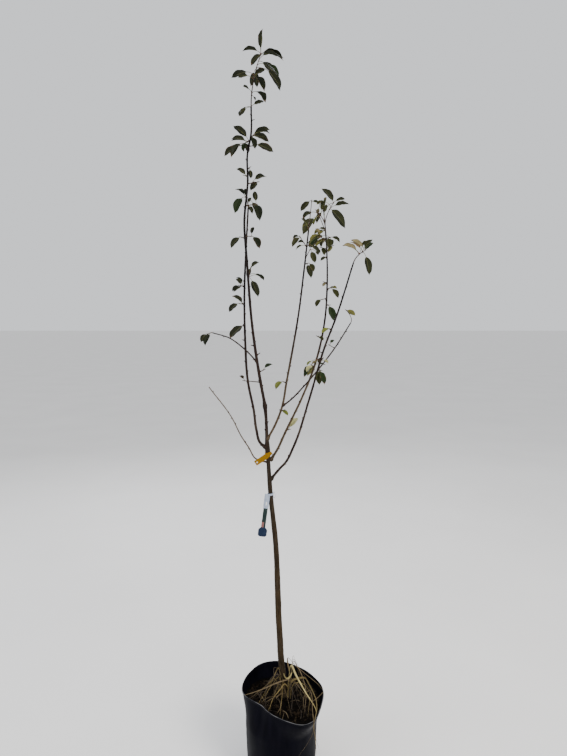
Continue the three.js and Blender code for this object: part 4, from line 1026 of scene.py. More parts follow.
# Trunk and boughs
class Limb:
    """A limb's centre line and radius, and the coarse sections that the leaves grow from"""

    def __init__(self, name, route, ends=None):
        self.name, self.ends = name, ends
        self.line = Line(route)
        steps = int(self.line.total / (BOUGH_STEP if ends else TRUNK_STEP) + 0.5)
        shares = [k / steps for k in range(steps + 1)]
        if not ends:
            shares[1:1] = [share / steps for share in ROOT_FLARE_SHARES]
        self.centres = self.line.at(shares)
        self.radii = self.radius(self.centres, np.array(shares))

    def radius(self, centres, shares):
        if self.ends:
            return mix(self.ends[0], self.ends[1], shares ** BOUGH_TAPER)
        z = centres[:, 2]
        heights, girths = zip(*TRUNK_GIRTH)
        swelling = sum(out * bump_at(z, height, spread) for height, out, spread in TRUNK_SWELLINGS)
        flare = ROOT_FLARE * np.exp(-(z - TRUNK_ROUTE[0][2]) / ROOT_FLARE_HEIGHT)
        return np.interp(z, heights, girths) + flare + swelling

    def place(self, height):
        """Point, radius and direction on the coarse sections at a height, or at the tip"""
        last = k = len(self.centres) - 1
        t = 1.0
        if height != TIP:
            k = 1
            while k < last and self.centres[k][2] < height:
                k += 1
            rise = self.centres[k][2] - self.centres[k - 1][2]
            t = min(1, max(0, (height - self.centres[k - 1][2]) / rise))
        a, b = self.centres[k - 1], self.centres[k]
        return mix(a, b, t), mix(self.radii[k - 1], self.radii[k], t), unit(b - a)


def bark_relief(points, radius, rough):
    """How far the bark stands out or in at points on a limb, in mm"""
    broad, fissure, scale, fine = (noise(points / vec(*cell), seed)
                                   for seed, cell in enumerate(BARK_CELLS, 1))
    fissure = np.clip(1 - np.abs(fissure) * 2, 0, 1) ** 2
    return BARK_SWELL * radius * broad + rough * (BARK_SCALES * scale - BARK_FISSURES * fissure) \
        + (BARK_GRAIN[0] + BARK_GRAIN[1] * rough) * fine


def make_bud(foot, ahead, out, length, width):
    """Pointed bud pressed to the shoot"""
    axis = unit(ahead * BUD_LEAN[0] + out * BUD_LEAN[1])
    s = np.linspace(0, 1, BUD_ROWS)
    centres = foot + axis * (s * length)[:, None] + out * (BUD_STANDOFF * width * (1 - s))[:, None]
    scales = 1 + BUD_SCALE_DEPTH * np.cos(s * BUD_SCALE_TURN)
    return tube(centres, np.interp(s, *BUD_GIRTH) * scales * width / 2)


def limb_sections(limb):
    """Fine sections of a limb: centres, radii and shares of its length"""
    line = limb.line
    if limb.ends:
        shares = np.linspace(0, 1, int(line.total / BOUGH_ROW))
    else:
        low = np.arange(0, (LEADER_HEIGHT - SOIL_HEIGHT), TRUNK_ROW) / line.total
        high = np.linspace(low[-1] + LEADER_ROW / line.total, 1,
                           int(line.total * (1 - low[-1]) / LEADER_ROW))
        shares = np.concatenate([low, high])
    centres = line.at(shares)
    radii = limb.radius(centres, shares) \
        + SKIN_FULLER * smooth((centres[:, 2] - SKIN_FULLER_FROM) / SKIN_FULLER_RUN)
    if limb.ends:
        return centres, radii, shares
    return (np.vstack([centres[0] - vec(0, 0, TRUNK_SUNK), centres]),
            np.concatenate([radii[:1], radii]), np.concatenate([[0], shares]))


def make_limb(limb, buds, material):
    """Bark skin of a limb with relief, lenticels, swollen nodes, buds and pruning stubs"""
    trunk = limb.ends is None
    centres, radii, shares = limb_sections(limb)
    run = centres[1] - centres[0]
    ahead, across, beside = frames(centres, (0, 0, 1) if abs(run[0]) > abs(run[2]) else (1, 0, 0))
    angle, ring = circle(TRUNK_SIDES if trunk else BOUGH_SIDES)
    distance = np.concatenate([[0], np.cumsum(np.linalg.norm(np.diff(centres, axis=0), axis=1))])
    out = across[:, None] * ring[:, :1] + beside[:, None] * ring[:, 1:]
    z = centres[:, 2]
    grown = radii[:, None] * np.ones(len(angle))
    if trunk:
        rough = np.interp(z, *TRUNK_ROUGHNESS)
        fading = BUTTRESS_DEPTH * np.exp(-(z - SOIL_HEIGHT) / BUTTRESS_HEIGHT)
        grown = grown * (1 + fading[:, None] * np.cos(BUTTRESSES * angle + BUTTRESS_TURN))
    else:
        rough = mix(*BOUGH_ROUGHNESS, shares)
        collar = COLLAR_SHARE * radii[0] * bump_at(distance, limb.collar, COLLAR_RUN)
        grown = grown + collar[:, None]
    grown += bark_relief(centres[:, None] + out * grown[..., None], radii[:, None], rough[:, None])

    draw = chance(BARK_SEED + len(limb.name) * BARK_SEED_STEP + int(limb.line.total))
    for _ in range(int(limb.line.total / LENTICEL_GAP * (1 if trunk else BOUGH_LENTICELS))):
        at, bearing, wide = draw(0, distance[-1]), draw(0, TURN), draw(*LENTICEL_WIDTH)
        k = int(np.searchsorted(distance, at))
        rows = slice(max(0, k - 2), k + 3)
        turn = np.abs(np.angle(np.exp(1j * (angle - bearing)))) * radii[min(k, len(radii) - 1)]
        grown[rows] += LENTICEL_RISE * bump_at(distance[rows], at, LENTICEL_LENGTH)[:, None] \
            * bump_at(turn, 0, wide)

    at = float(np.interp(YOUNG_WOOD, z, distance)) if trunk else limb.collar + NODE_START
    bearing = draw(0, TURN)
    while at < distance[-1] - NODE_END:
        k = int(np.searchsorted(distance, at))
        facing = 0.5 + 0.5 * np.cos(angle - bearing)
        swell = NODE_SWELL * min(1, radii[k] / NODE_FULL_RADIUS)
        grown += swell * bump_at(distance, at, NODE_RUN)[:, None] * mix(NODE_BACK, 1, facing ** 2)
        direction = across[k] * math.cos(bearing) + beside[k] * math.sin(bearing)
        size = draw(*BUD_SIZES)
        buds.add(make_bud(centres[k] + direction * (radii[k] + BUD_RAISED), ahead[k], direction,
                          BUD_LENGTH * size, BUD_WIDTH * size))
        at += NODE_GAP * draw(*NODE_GAPS)
        bearing += math.radians(NODE_TURN + draw(*NODE_TURNS))

    heap = Heap()
    heap.add(sweep(centres, across, beside, ring * grown[..., None]))
    for name, height, bearing, length, girth in STUBS + HEALED_CUTS:
        if name == limb.name:
            make_stub(heap, limb, height, bearing, length, girth)
    return heap.piece(limb.name + "_bark", [material, FINISHES["cut_wood"]],
                      "trunk_bark" if trunk else "bough_bark", limb.name)


def make_stub(heap, limb, height, bearing, length, girth):
    """Stub left by pruning: a callus at its foot and a clean slanting cut"""
    point, radius, _ = limb.place(height)
    way = heading(bearing, STUB_TURN)
    end = radius + length
    s = np.linspace(0, end, STUB_ROWS)
    out, past, spread = STUB_CALLUS
    callus = out * girth * bump_at(s, radius + past, spread)
    rounds = STUB_ROUNDS[0] * girth * np.cos(s * STUB_ROUNDS[1]) * (s > radius)
    ending = np.interp(s, (end - STUB_EDGE, end), (1, STUB_END))
    radii = (mix(girth, STUB_TAPER * girth, s / end) + callus + rounds) * ending
    heap.add(tube(point + way * s[:, None], radii, STUB_SIDES))
    past, shares = np.transpose(STUB_CUT)
    heap.add(tube(point + way * (end + past)[:, None], girth * shares, STUB_SIDES), 1)


# Stems, stalks and leaves
class Stem:
    """Stem of a mass: a short curve that leaves its limb and turns to its own bearing"""

    def __init__(self, limb, at, bearing, length):
        point, radius, direction = limb.place(at)
        way = heading(bearing, 0)
        self.tipped, self.length, self.root = at == TIP, length, point
        self.start = point + way * (0 if self.tipped else radius)
        self.bend = self.start + (direction if self.tipped else way) * length * STEM_BEND
        self.end = self.start + way * length
        self.base = radius if self.tipped else min(STEM_WIDEST, radius * STEM_SHARE)

    def at(self, distance):
        return curve(self.start, self.bend, self.end,
                     np.asarray(distance, float)[..., None] / self.length)


class Leaf:
    """One leaf's frame and arc, worked out from the stem and the leaf's random draws"""

    def __init__(self, stem, row, draws, side):
        distance, bearing, seen, *own_stalk = row
        turn = side * mix(*LEAF_TURN, draws[0])
        self.droop = math.radians(mix(*LEAF_DROOP, draws[1]))
        roll = math.radians(mix(*LEAF_ROLL, draws[2]))
        self.fold = math.radians(mix(*LEAF_FOLD, draws[3]))
        self.root = stem.at(distance if stem.tipped else max(distance, STEM_BARE))
        run = sighted_run(self.root, bearing, seen, turn)
        self.length = np.linalg.norm(run)
        self.way = way = unit(run)
        flat = vec(0, -1, 0) if abs(way[2]) > STEEP else unit(vec(way[1], -way[0], 0))
        self.lift = lift = np.cross(flat, way)
        enter = way * math.cos(self.droop / 2) + lift * math.sin(self.droop / 2)
        usual_stalk = min(STALK_LIMITS[1], max(STALK_LIMITS[0], STALK_SHARE * self.length))
        self.stalk = own_stalk[0] if own_stalk else usual_stalk
        self.base = self.root + unit(enter + vec(0, 0, STALK_RISE)) * self.stalk
        self.bend = self.base - enter * self.stalk * STALK_BEND
        self.across = flat * math.cos(roll) + lift * math.sin(roll)
        self.up = np.cross(self.across, way)
        self.belly = LEAF_HALF_WIDTH + LEAF_WIDTH_SHARE * self.length

    def arc(self, s):
        s = np.asarray(s, float)[..., None]
        return self.base + self.way * self.length * s \
            + self.lift * self.length * math.tan(self.droop / 2) * s * (1 - s)

    def touches(self, limbs):
        s = np.array(LEAF_PROBES)
        half = self.belly * np.sin(np.pi * s ** LEAF_BELLY).clip(0) ** LEAF_BELLY
        rib = self.arc(s)
        raised = rib + self.up * (half * math.sin(self.fold))[:, None]
        aside = self.across * (half * math.cos(self.fold))[:, None]
        probes = np.vstack([rib, raised + aside, raised - aside])[:, None]
        for limb in limbs:
            a, b = limb.centres[:-1], limb.centres[1:]
            run = b - a
            t = np.einsum("psk,sk->ps", probes - a, run) / np.einsum("sk,sk->s", run, run)
            near = a + run * t.clip(0, 1)[..., None]
            if (np.linalg.norm(near - probes, axis=-1) < limb.radii[:-1] + LEAF_CLEARANCE).any():
                return True
        return False


def fine_blade(leaf, draw):
    """Blade as one closed skin: folded, wavy, twisted, toothed and puffed between its veins.
    Also the share along and across at the middle of each of its faces"""
    s = np.linspace(*BLADE_ENDS, BLADE_ROWS)
    j = np.linspace(-1, 1, BLADE_COLUMNS)
    t = np.sign(j) * np.abs(j) ** BLADE_COLUMN_SPREAD
    u = np.abs(t)
    waves, phases = draw(*BLADE_WAVES), (draw(0, 1), draw(0, 1))
    twist = math.radians(draw(*BLADE_TWIST))
    tip_turn, tip_drop = draw(*TIP_TURN), draw(*TIP_DROP)
    power = BLADE_BODY + BLADE_POINT * smooth((s - BLADE_POINT_START) / (1 - BLADE_POINT_START)) \
        + BLADE_BASE * (1 - smooth(s / BLADE_BASE_RUN))
    half = BLADE_SPREAD * leaf.belly * np.sin(np.pi * s ** LEAF_BELLY).clip(BLADE_LEAST) ** power
    tooth = (np.arange(BLADE_ROWS) % 2) * BLADE_TOOTH * np.minimum(1, half / TOOTH_FADE)
    along = s[:, None] + TOOTH_LEAN * (s[1] - s[0]) * (tooth[:, None] > 0) * (u == 1)
    width = half[:, None] + tooth[:, None] * (u == 1)
    pairs = min(VEIN_COUNTS[1], max(VEIN_COUNTS[0], round(leaf.length / VEIN_GAP)))
    slope = half[:, None] * u / (leaf.length * math.tan(math.radians(VEIN_ANGLE)))
    vein = np.abs(np.sin(np.pi * (pairs * (s[:, None] - slope) - VEIN_CURVE * u * u)))
    edge = np.minimum(1, half / PUFF_FADE)[:, None]
    puff = BLADE_PUFF * (vein ** PUFF_POWER - PUFF_SUNK) \
        * np.minimum(1, PUFF_START * u) * (1 - u ** PUFF_END) * edge
    crest = np.sin(2 * np.pi * (waves * s[:, None] + np.where(t < 0, phases[0], phases[1])))
    wave = BLADE_WAVE * leaf.belly * u ** 2 * crest * smooth(s / WAVE_START)[:, None] * edge
    cup = (1 + BLADE_CUP) * u - BLADE_CUP * u ** 3
    rise = width * math.sin(leaf.fold) * cup + puff + wave
    turn = twist * (s - TWIST_ABOUT)
    across = leaf.across * np.cos(turn)[:, None] + leaf.up * np.sin(turn)[:, None]
    up = leaf.up * np.cos(turn)[:, None] - leaf.across * np.sin(turn)[:, None]
    bent = smooth((s - TIP_START) / (1 - TIP_START))[:, None, None] * leaf.length
    middle = leaf.arc(along) + across[:, None] * (width * t * math.cos(leaf.fold))[..., None] \
        + up[:, None] * rise[..., None] + bent * (leaf.across * tip_turn - leaf.lift * tip_drop)
    thick = 0.5 * BLADE_THICKNESS * up[:, None] * (u < 1)[:, None]
    rings = np.concatenate([middle + thick, (middle - thick)[:, -2:0:-1]], axis=1)
    order = np.concatenate([t, t[-2:0:-1]])
    return skin(rings), s, 0.5 * (order + np.roll(order, -1))


def leaf_paints(s, across, tint, under, scorched, draw):
    """Number of the material of each face: tint above, its own below, and scorched tips or edges"""
    sides = len(across)
    paint = np.where(np.arange(sides) < BLADE_COLUMNS - 1, tint, under)
    paint = np.tile(paint, (len(s) - 1, 1))
    if draw() < SCORCHED_SHARE:
        ragged = SCORCHED_RAGGED * noise(grid(s[:-1, None] * SCORCHED_CELLS[0],
                                              across * SCORCHED_CELLS[1], draw(0, 50)), 6)
        limit, rim = draw(*SCORCHED_TIP), draw(*SCORCHED_EDGE)
        burnt = (s[:-1, None] + ragged > limit) | (np.abs(across) + 2 * ragged > rim)
        paint = np.where(burnt, scorched, paint)
    return np.concatenate([np.repeat(paint.reshape(-1), 2), np.full(2 * sides, tint)])


def stalk_tube(leaf):
    """Leaf stalk with a swollen foot, which runs on as the rib under the blade"""
    t = np.linspace(0, 1, STALK_ROWS)
    free = curve(leaf.root, leaf.bend, leaf.base, t[:, None])
    s = np.linspace(*RIB_ENDS, RIB_ROWS)
    rib = leaf.arc(s) - leaf.up * RIB_SUNK
    foot = STALK_FOOT * bump_at(t * leaf.stalk, 0, STALK_FOOT_RUN)
    radii = np.concatenate([STALK_RADIUS * (1 - STALK_TAPER * t) + foot,
                            MIDRIB_RADIUS * (1 - RIB_TAPER * s)])
    red = np.arange(STALK_ROWS + RIB_ROWS - 1) < STALK_RED_ROWS
    paints = np.concatenate([np.repeat(red.astype(int), 2 * STALK_SIDES),
                             np.full(2 * STALK_SIDES, 1)])
    return tube(np.vstack([free, rib]), radii, STALK_SIDES), paints


def make_twig(stem, leaves, heap, buds):
    """Stem of a mass with a collar, scale scars, a swelling under each leaf and an end bud"""
    rows = max(TWIG_LEAST_ROWS, int(stem.length / TWIG_ROW))
    distance = np.linspace(0, stem.length, rows)
    centres = stem.at(distance)
    if not stem.tipped:
        centres = np.vstack([stem.root, centres])
        distance = np.concatenate([[-np.linalg.norm(stem.start - stem.root)], distance])
    s = (distance - distance[0]) / (distance[-1] - distance[0])
    depth, turns, *scarred = TWIG_SCARS
    scars = depth * np.cos(distance * turns) * bump_at(distance, *scarred)
    collar = (0 if stem.tipped else TWIG_COLLAR[0]) * bump_at(distance, *TWIG_COLLAR[1:])
    swell, spread = TWIG_NODES
    nodes = sum(swell * bump_at(distance, min(leaf_at, stem.length), spread)
                for leaf_at, *_ in leaves)
    radii = mix(stem.base, STEM_TIP_RADIUS, s) + scars + collar + nodes
    heap.add(tube(centres, radii, TWIG_SIDES))
    ahead = unit(centres[-1] - centres[-2])
    buds.add(make_bud(centres[-1] - ahead * END_BUD_SUNK, ahead, ahead, *END_BUD))


class Kind:
    """Leaves of one kind: their materials and the mesh that they are joined in"""

    def __init__(self, name, tints, deal, under, paler_unders):
        self.tints, self.deal = list(tints), deal
        self.heap, self.nodes, self.unders = Heap(), [], {}
        looks = [*tints.items(), ("under", under), ("scorched", LEAF_SCORCHED)]
        for tint, (wearers, pair) in paler_unders.items():
            self.unders.update({wearer: len(looks) for wearer in wearers})
            looks.append(("under_" + tint, pair))
        self.paints = [leaf_material(f"leaf_{name}_{tint}", *pair) for tint, pair in looks]


class Crown:
    """Twigs, stalks, buds and leaves by the rule of the model's source, in joined pieces"""

    def __init__(self, limbs):
        self.limbs = {limb.name: limb for limb in limbs}
        self.twigs, self.stalks, self.buds = Heap(), Heap(), Heap()
        self.kinds = {name: Kind(name, *look) for name, look in LEAF_KINDS.items()}

    def stem(self, limb_name, at, bearing, length, rows):
        """A stem that is drawn for the leaves in its rows"""
        stem = Stem(self.limbs[limb_name], at, bearing, length)
        make_twig(stem, rows, self.twigs, self.buds)
        return stem

    def leaf(self, stem, row, draw, side):
        """A leaf turned to its side, or to the other if it would touch a limb, or none"""
        draws = [draw() for _ in range(4)]
        turned = (Leaf(stem, row, draws, turn) for turn in (side, -side))
        return next((leaf for leaf in turned if not leaf.touches(self.limbs.values())), None)

    def show(self, kind, leaf, tint, draw):
        """A leaf's blade in its tint, and its stalk"""
        if leaf:
            made, s, across = fine_blade(leaf, draw)
            under = len(kind.tints)
            kind.heap.add(made, leaf_paints(s, across, kind.tints.index(tint),
                                            kind.unders.get(tint, under), under + 1, draw))
            self.stalks.add(*stalk_tube(leaf))

    def show_more(self, kind, stem, rows):
        """Leaves that only this script draws"""
        for i, (*row, tint, seed) in enumerate(rows):
            leaf = self.leaf(stem, row, chance(seed), 1 if seed % 2 else -1)
            self.show(kind, leaf, tint, chance(seed + MORE_SEED * (i + 1)))

    def grow(self):
        """The model's masses with the leaves that are added to them, then the finer twigs"""
        for name, limb_name, at, bearing, length, seed, rows in MASSES:
            kind = self.kinds["yellow" if any(word in name for word in YELLOWED) else "olive"]
            kind.nodes.append(name)
            stem = self.stem(limb_name, at, bearing, length, rows)
            draw, extra = chance(seed), chance(seed + TINT_SEED)
            for i, row in enumerate(rows):
                leaf = self.leaf(stem, row, draw, -1 if (seed + i) % 2 else 1)
                dealt = kind.deal[int(extra(0, len(kind.deal)))]
                self.show(kind, leaf, OWN_TINTS[name][i] if name in OWN_TINTS else dealt, extra)
            self.show_more(kind, stem, MORE_LEAVES.get(name, ()))
        for *place, rows in FINE_TWIGS:
            self.show_more(self.kinds["yellow"], self.stem(*place, rows), rows)
        for name, kind in self.kinds.items():
            kind.heap.piece(f"leaves_{name}_blades", kind.paints, "leaf_" + name, *kind.nodes,
                            sharp=70)


# Pot and potting mix
def warp_at(angle, key):
    """How far the warped mouth reaches out, with key 0, or rises, with key 1"""
    total = 0
    for bearing, spread, *moves in MOUTH_WARPS:
        turn = np.angle(np.exp(1j * (angle - math.radians(bearing))))
        total = total + moves[key] * np.exp(-((turn / math.radians(spread)) ** 2))
    return total


def flare_at(height):
    """Share of the mouth's flare and warp that a height has"""
    return smooth((height - POT_FLARE_START) / (POT_RIM_HEIGHT - POT_FLARE_START))


def dent(angle, height):
    """Soft dents and creases of the thin shell, in mm outward"""
    c, s = np.cos(angle), np.sin(angle)
    soft = sum(depth * noise(grid(lobes * c, lobes * s, height / run), seed)
               for depth, lobes, run, seed in POT_DENTS)
    return soft * smooth(height / POT_DENTS_RUN)


def pot_ring(height, inset, sides=POT_SIDES):
    """Rings of the pot's shell at heights, lifted and dropped with the warped rim"""
    angle, ring = circle(sides)
    height, inset = np.asarray(height, float)[:, None], np.asarray(inset, float)[:, None]
    foot = mix(POT_FOOT_RADIUS, POT_HEEL_RADIUS, smooth(height / POT_HEEL_HEIGHT))
    body = foot + (POT_BODY_RADIUS - POT_HEEL_RADIUS) * np.clip(height / POT_FLARE_START, 0, 1)
    open_by = POT_MOUTH_RADIUS - POT_BODY_RADIUS + warp_at(angle, 0)
    radius = body + flare_at(height) * open_by + dent(angle, height) - inset
    uneven = RIM_UNEVEN * noise(grid(*(RIM_LOBES * ring.T), 0), RIM_SEED) \
        * smooth((height - RIM_UNEVEN_FROM) / RIM_UNEVEN_RUN)
    z = height + flare_at(height) * warp_at(angle, 1) + uneven
    return np.stack([radius * np.cos(angle), radius * np.sin(angle), z], -1)


def make_pot():
    """Thin shell with a rolled lip: under the foot, up outside, over the lip, down inside"""
    heap = Heap()
    under = np.concatenate([pot_ring([0], [inset]) + vec(0, 0, lift) for inset, lift in POT_UNDER])
    climb = np.linspace(0, POT_RIM_HEIGHT - LIP_DEPTH, POT_ROWS)
    outside = pot_ring(climb, POT_STEP * (1 - smooth((climb - POT_STEP_HEIGHT) / POT_STEP_RUN)))
    roll = np.radians(np.linspace(*LIP_ROLL, LIP_ROWS))
    lip = pot_ring(POT_RIM_HEIGHT - LIP_DEPTH / 2 * (1 - np.sin(roll)),
                   LIP_SUNK - LIP_PROUD * (0.5 + 0.5 * np.cos(roll)))
    inner = np.linspace(POT_RIM_HEIGHT - LIP_DEPTH, POT_FLOOR, POT_INNER_ROWS)
    inside = pot_ring(inner, np.full(POT_INNER_ROWS, POT_WALL))
    made = skin(np.concatenate([under, outside, lip, inside,
                                pot_ring([POT_FLOOR], [POT_FLOOR_INSET])]))
    # The lip's top rows take the second material, a painted highlight of lighter grey
    paint = np.zeros(len(made[1]), int)
    first, last = (2 * POT_SIDES * (len(under) + len(outside) + row) for row in LIP_HIGHLIGHT_ROWS)
    paint[first:last] = 1
    heap.add(made, paint)
    lip_highlight = plain_material("pot_lip_worn", LIP_HIGHLIGHT_COLOURS, 26, (0.45, 0.65), 500, 0.3, 0.0003,
                              reach=(0.35, 0.62))
    heap.piece("pot_shell", [pot_material(), lip_highlight], "pot_plastic", "pot")


def soil_height(x, y):
    """Height of the potting mix inside the pot"""
    x, y = np.asarray(x, float), np.asarray(y, float)
    foot = TRUNK_ROUTE[0]
    reach = np.hypot(x - foot[0], y - foot[1])
    share = np.clip(reach / SOIL_REACH, 0, 1)
    wave = np.sin(SOIL_WAVES * np.arctan2(y, x) + SOIL_WAVE_TURN * share) * np.sin(np.pi * share)
    place = grid(x, y, 0)
    lumps = sum(height * noise(place / size, seed) for height, size, seed in SOIL_LUMPS)
    return mix(SOIL_HEIGHT, SOIL_EDGE_HEIGHT, share ** 2) + SOIL_RELIEF * wave + lumps \
        + SOIL_MOUND * np.exp(-((reach / SOIL_MOUND_REACH) ** 2))


def inside_pot(point, margin):
    """A point in plan, brought in where it would pass the pot's inner wall less a margin"""
    share = (math.atan2(point[1], point[0]) / TURN) % 1 * POT_SIDES
    wall = INNER_WALL[int(share + 0.5) % POT_SIDES]
    return point * min(1, (wall - margin) / max(1, np.linalg.norm(point)))


def make_soil():
    """Potting mix with an uneven top, and chips of bark in it"""
    edge = pot_ring([SOIL_EDGE_HEIGHT], [POT_WALL + SOIL_CLEARANCE], SOIL_SIDES)[0]
    share = np.linspace(SOIL_START, 1, SOIL_ROWS)[:, None]
    x, y = (mix(TRUNK_ROUTE[0][i], edge[:, i], share) for i in (0, 1))
    levels = np.linspace(*SOIL_WALL_LEVELS, SOIL_WALL_ROWS)
    walls = pot_ring(levels, np.full(SOIL_WALL_ROWS, POT_WALL + SOIL_CLEARANCE), SOIL_SIDES)
    base = pot_ring([POT_HEEL_HEIGHT], [POT_WALL + SOIL_BASE_INSET], SOIL_SIDES)
    base[..., 2] = POT_FLOOR + SOIL_BASE_LIFT
    heap = Heap()
    heap.add(skin(np.concatenate([grid(x, y, soil_height(x, y)), walls, base])))
    draw = chance(CHIP_SEED)
    for _ in range(CHIPS):
        angle, reach = draw(0, TURN), CHIP_REACH * math.sqrt(draw(*CHIP_PLACES))
        size, long = CHIP_LEAST + CHIP_SPAN * draw() ** CHIP_POWER, draw(*CHIP_LONG)
        x, y = inside_pot(vec(reach * math.cos(angle), reach * math.sin(angle)),
                          CHIP_MARGIN + CHIP_ROOM * size * long)
        heap.add(make_chip(vec(x, y, soil_height(x, y)), size, long, draw), int(draw(*CHIP_MIXES)))
    # The mix's materials take these darkened colours, partly painted shade inside the pot
    mixes = [plain_material(f"potting_mix_{i}", colours, 150, (0.8, 0.98), 600, 0.7, 0.0008,
                            specular=0.02) for i, colours in enumerate(SHADED_MIX_COLOURS)]
    heap.piece("soil_mix", mixes, "potting_mix", "soil", sharp=35)


def make_chip(centre, size, long, draw):
    """Flat splinter of bark, of five to seven sides, lying at its own tilt"""
    sides = 5 + int(draw(*CHIP_SIDES))
    _, ring = circle(sides)
    ragged = np.array([draw(*CHIP_RAGGED) for _ in range(sides)])[:, None]
    shape = size * ragged * ring * vec(long, 1)
    thick = size * draw(*CHIP_THICK)
    rings = np.stack([np.column_stack([shape * wide, np.full(sides, thick * high)])
                      for wide, high in CHIP_PROFILE])
    turned = Matrix.Rotation(draw(*SPIN), 3, "Z") @ Matrix.Rotation(draw(*CHIP_TILT), 3, "X") \
        @ Matrix.Rotation(draw(*CHIP_TILT), 3, "Y")
    return skin(centre + rings @ np.array(turned).T + vec(0, 0, thick * draw(*CHIP_LIFT)))


# Straw in the pot's mouth
def straw_blade(heap, route, width, paint, draw):
    """Thin dry blade, creased along its middle, tapered and twisted"""
    line = Line(route)
    s = np.linspace(0, 1, max(STRAW_LEAST_ROWS, int(line.total / STRAW_ROW)))
    centres = line.at(s)
    centres = centres + STRAW_WAVER * noise(centres[:, None] / STRAW_WAVER_CELL,
                                            int(draw(*STRAW_WAVER_SEEDS)))
    _, across, beside = frames(centres, STRAW_ACROSS)
    turn = draw(*SPIN) + s * draw(*STRAW_TWIST)
    half = 0.5 * width * np.interp(s, *STRAW_TAPER)
    aside, crease, thick = np.transpose(STRAW_SECTION)
    x, y = aside * half[:, None], crease * half[:, None] + thick
    c, d = np.cos(turn)[:, None], np.sin(turn)[:, None]
    heap.add(sweep(centres, across, beside, grid(x * c - y * d, x * d + y * c)), paint)


def make_straw():
    """Dry blades: the long ones that the photograph shows, then a seeded tangle in the mouth"""
    heap = Heap()
    draw = chance(STRAW_SEED)
    for width, paint, route in STRAW_ROUTES:
        straw_blade(heap, route, width, paint, draw)
    foot = vec(*TRUNK_ROUTE[0][:2])
    for _ in range(STRAW_TUFT):
        bearing = math.radians(draw(*TUFT_FRONT)) if draw() < TUFT_FRONT_SHARE else draw(0, TURN)
        out = vec(math.cos(bearing), math.sin(bearing))
        side = vec(-out[1], out[0])
        start = foot + out * draw(*TUFT_ROOT[0]) + side * draw(*TUFT_ROOT[1])
        peak, reach = draw(*TUFT_PEAK), draw(*TUFT_REACH)
        knee = start + out * draw(*TUFT_KNEE[0]) + side * draw(*TUFT_KNEE[1])
        crown = knee + out * draw(*TUFT_CROWN)
        end = inside_pot(foot + out * (TUFT_OUT + reach) + side * draw(*TUFT_ASIDE), TUFT_MARGIN)
        ground, top = soil_height(*end), SOIL_HEIGHT + peak
        route = [[*start, SOIL_HEIGHT - 3], [*mix(start, knee, 0.7), SOIL_HEIGHT + 0.55 * peak],
                 [*crown, top], [*mix(crown, end, 0.34), mix(top, ground, 0.33)],
                 [*mix(crown, end, 0.72), mix(top, ground, 0.74)], [*end, ground + 1.5]]
        straw_blade(heap, route, draw(*TUFT_WIDTH), int(draw(*TUFT_KINDS)), draw)
    for _ in range(STRAW_LOOSE):
        angle, reach, turn = draw(0, TURN), LOOSE_REACH * math.sqrt(draw()), draw(0, math.pi)
        middle = vec(reach * math.cos(angle), reach * math.sin(angle))
        length, bow = draw(*LOOSE_LENGTH), draw(*LOOSE_BOW)
        way = vec(math.cos(turn), math.sin(turn))
        route = []
        for share in LOOSE_SHARES:
            flat = middle + way * length * share + vec(-way[1], way[0]) * length * bow * share ** 2
            flat = inside_pot(flat, LOOSE_MARGIN)
            route.append([*flat, soil_height(*flat) + draw(*LOOSE_LIFT)])
        straw_blade(heap, route, draw(*LOOSE_WIDTH), int(draw(*LOOSE_KINDS)), draw)
    straws = [plain_material(f"straw_{i}", colours, 90, (0.55, 0.8), 900, 0.5, 0.0003, (1, 1, 0.3))
              for i, colours in enumerate(STRAW_COLOURS)]
    heap.piece("straw_litter", straws, "potting_mix", sharp=40)


# Tag and label
def upright(direction):
    """Turn that carries +Z to a direction by the shortest way"""
    axis = np.cross((0, 0, 1), direction)
    angle = math.acos(direction[2])
    return np.array(Matrix.Rotation(angle, 3, axis.tolist())) if angle > 1e-6 else np.eye(3)


def tilt(points, degrees):
    """Turn about +Y, which carries +Z towards +X"""
    c, s = math.cos(math.radians(degrees)), math.sin(math.radians(degrees))
    return points @ vec([c, 0, -s], [0, 1, 0], [s, 0, c])


def trunk_place(trunk, height, clearance):
    """How a mesh is carried onto the trunk at a height, and the radius there with its clearance"""
    point, radius, direction = trunk.place(height)
    turn = upright(direction)
    return lambda made: (made[0] @ turn.T + point, made[1]), radius + clearance


def oval(sides, x, y, exponent):
    """Offsets round an ellipse, or round one with squarer corners where the exponent is under 1"""
    return [size * np.sign(way) * np.abs(way) ** exponent
            for size, way in zip((x, y), circle(sides)[1].T)]


def strap(radius_x, radius_y, width, thickness, square=1.0):
    """Closed loop of flat strap standing on its edge, round or squarer with a lower exponent"""
    centres = grid(*oval(STRAP_ROWS, radius_x, radius_y, square), 0)
    ahead = unit(np.roll(centres, -1, 0) - np.roll(centres, 1, 0))
    up = np.broadcast_to(vec(0, 0, 1), centres.shape)
    shape = grid(*oval(STRAP_SIDES, thickness / 2, width / 2, STRAP_EDGE))
    return sweep(centres, np.cross(ahead, up), up, shape, closed=True)


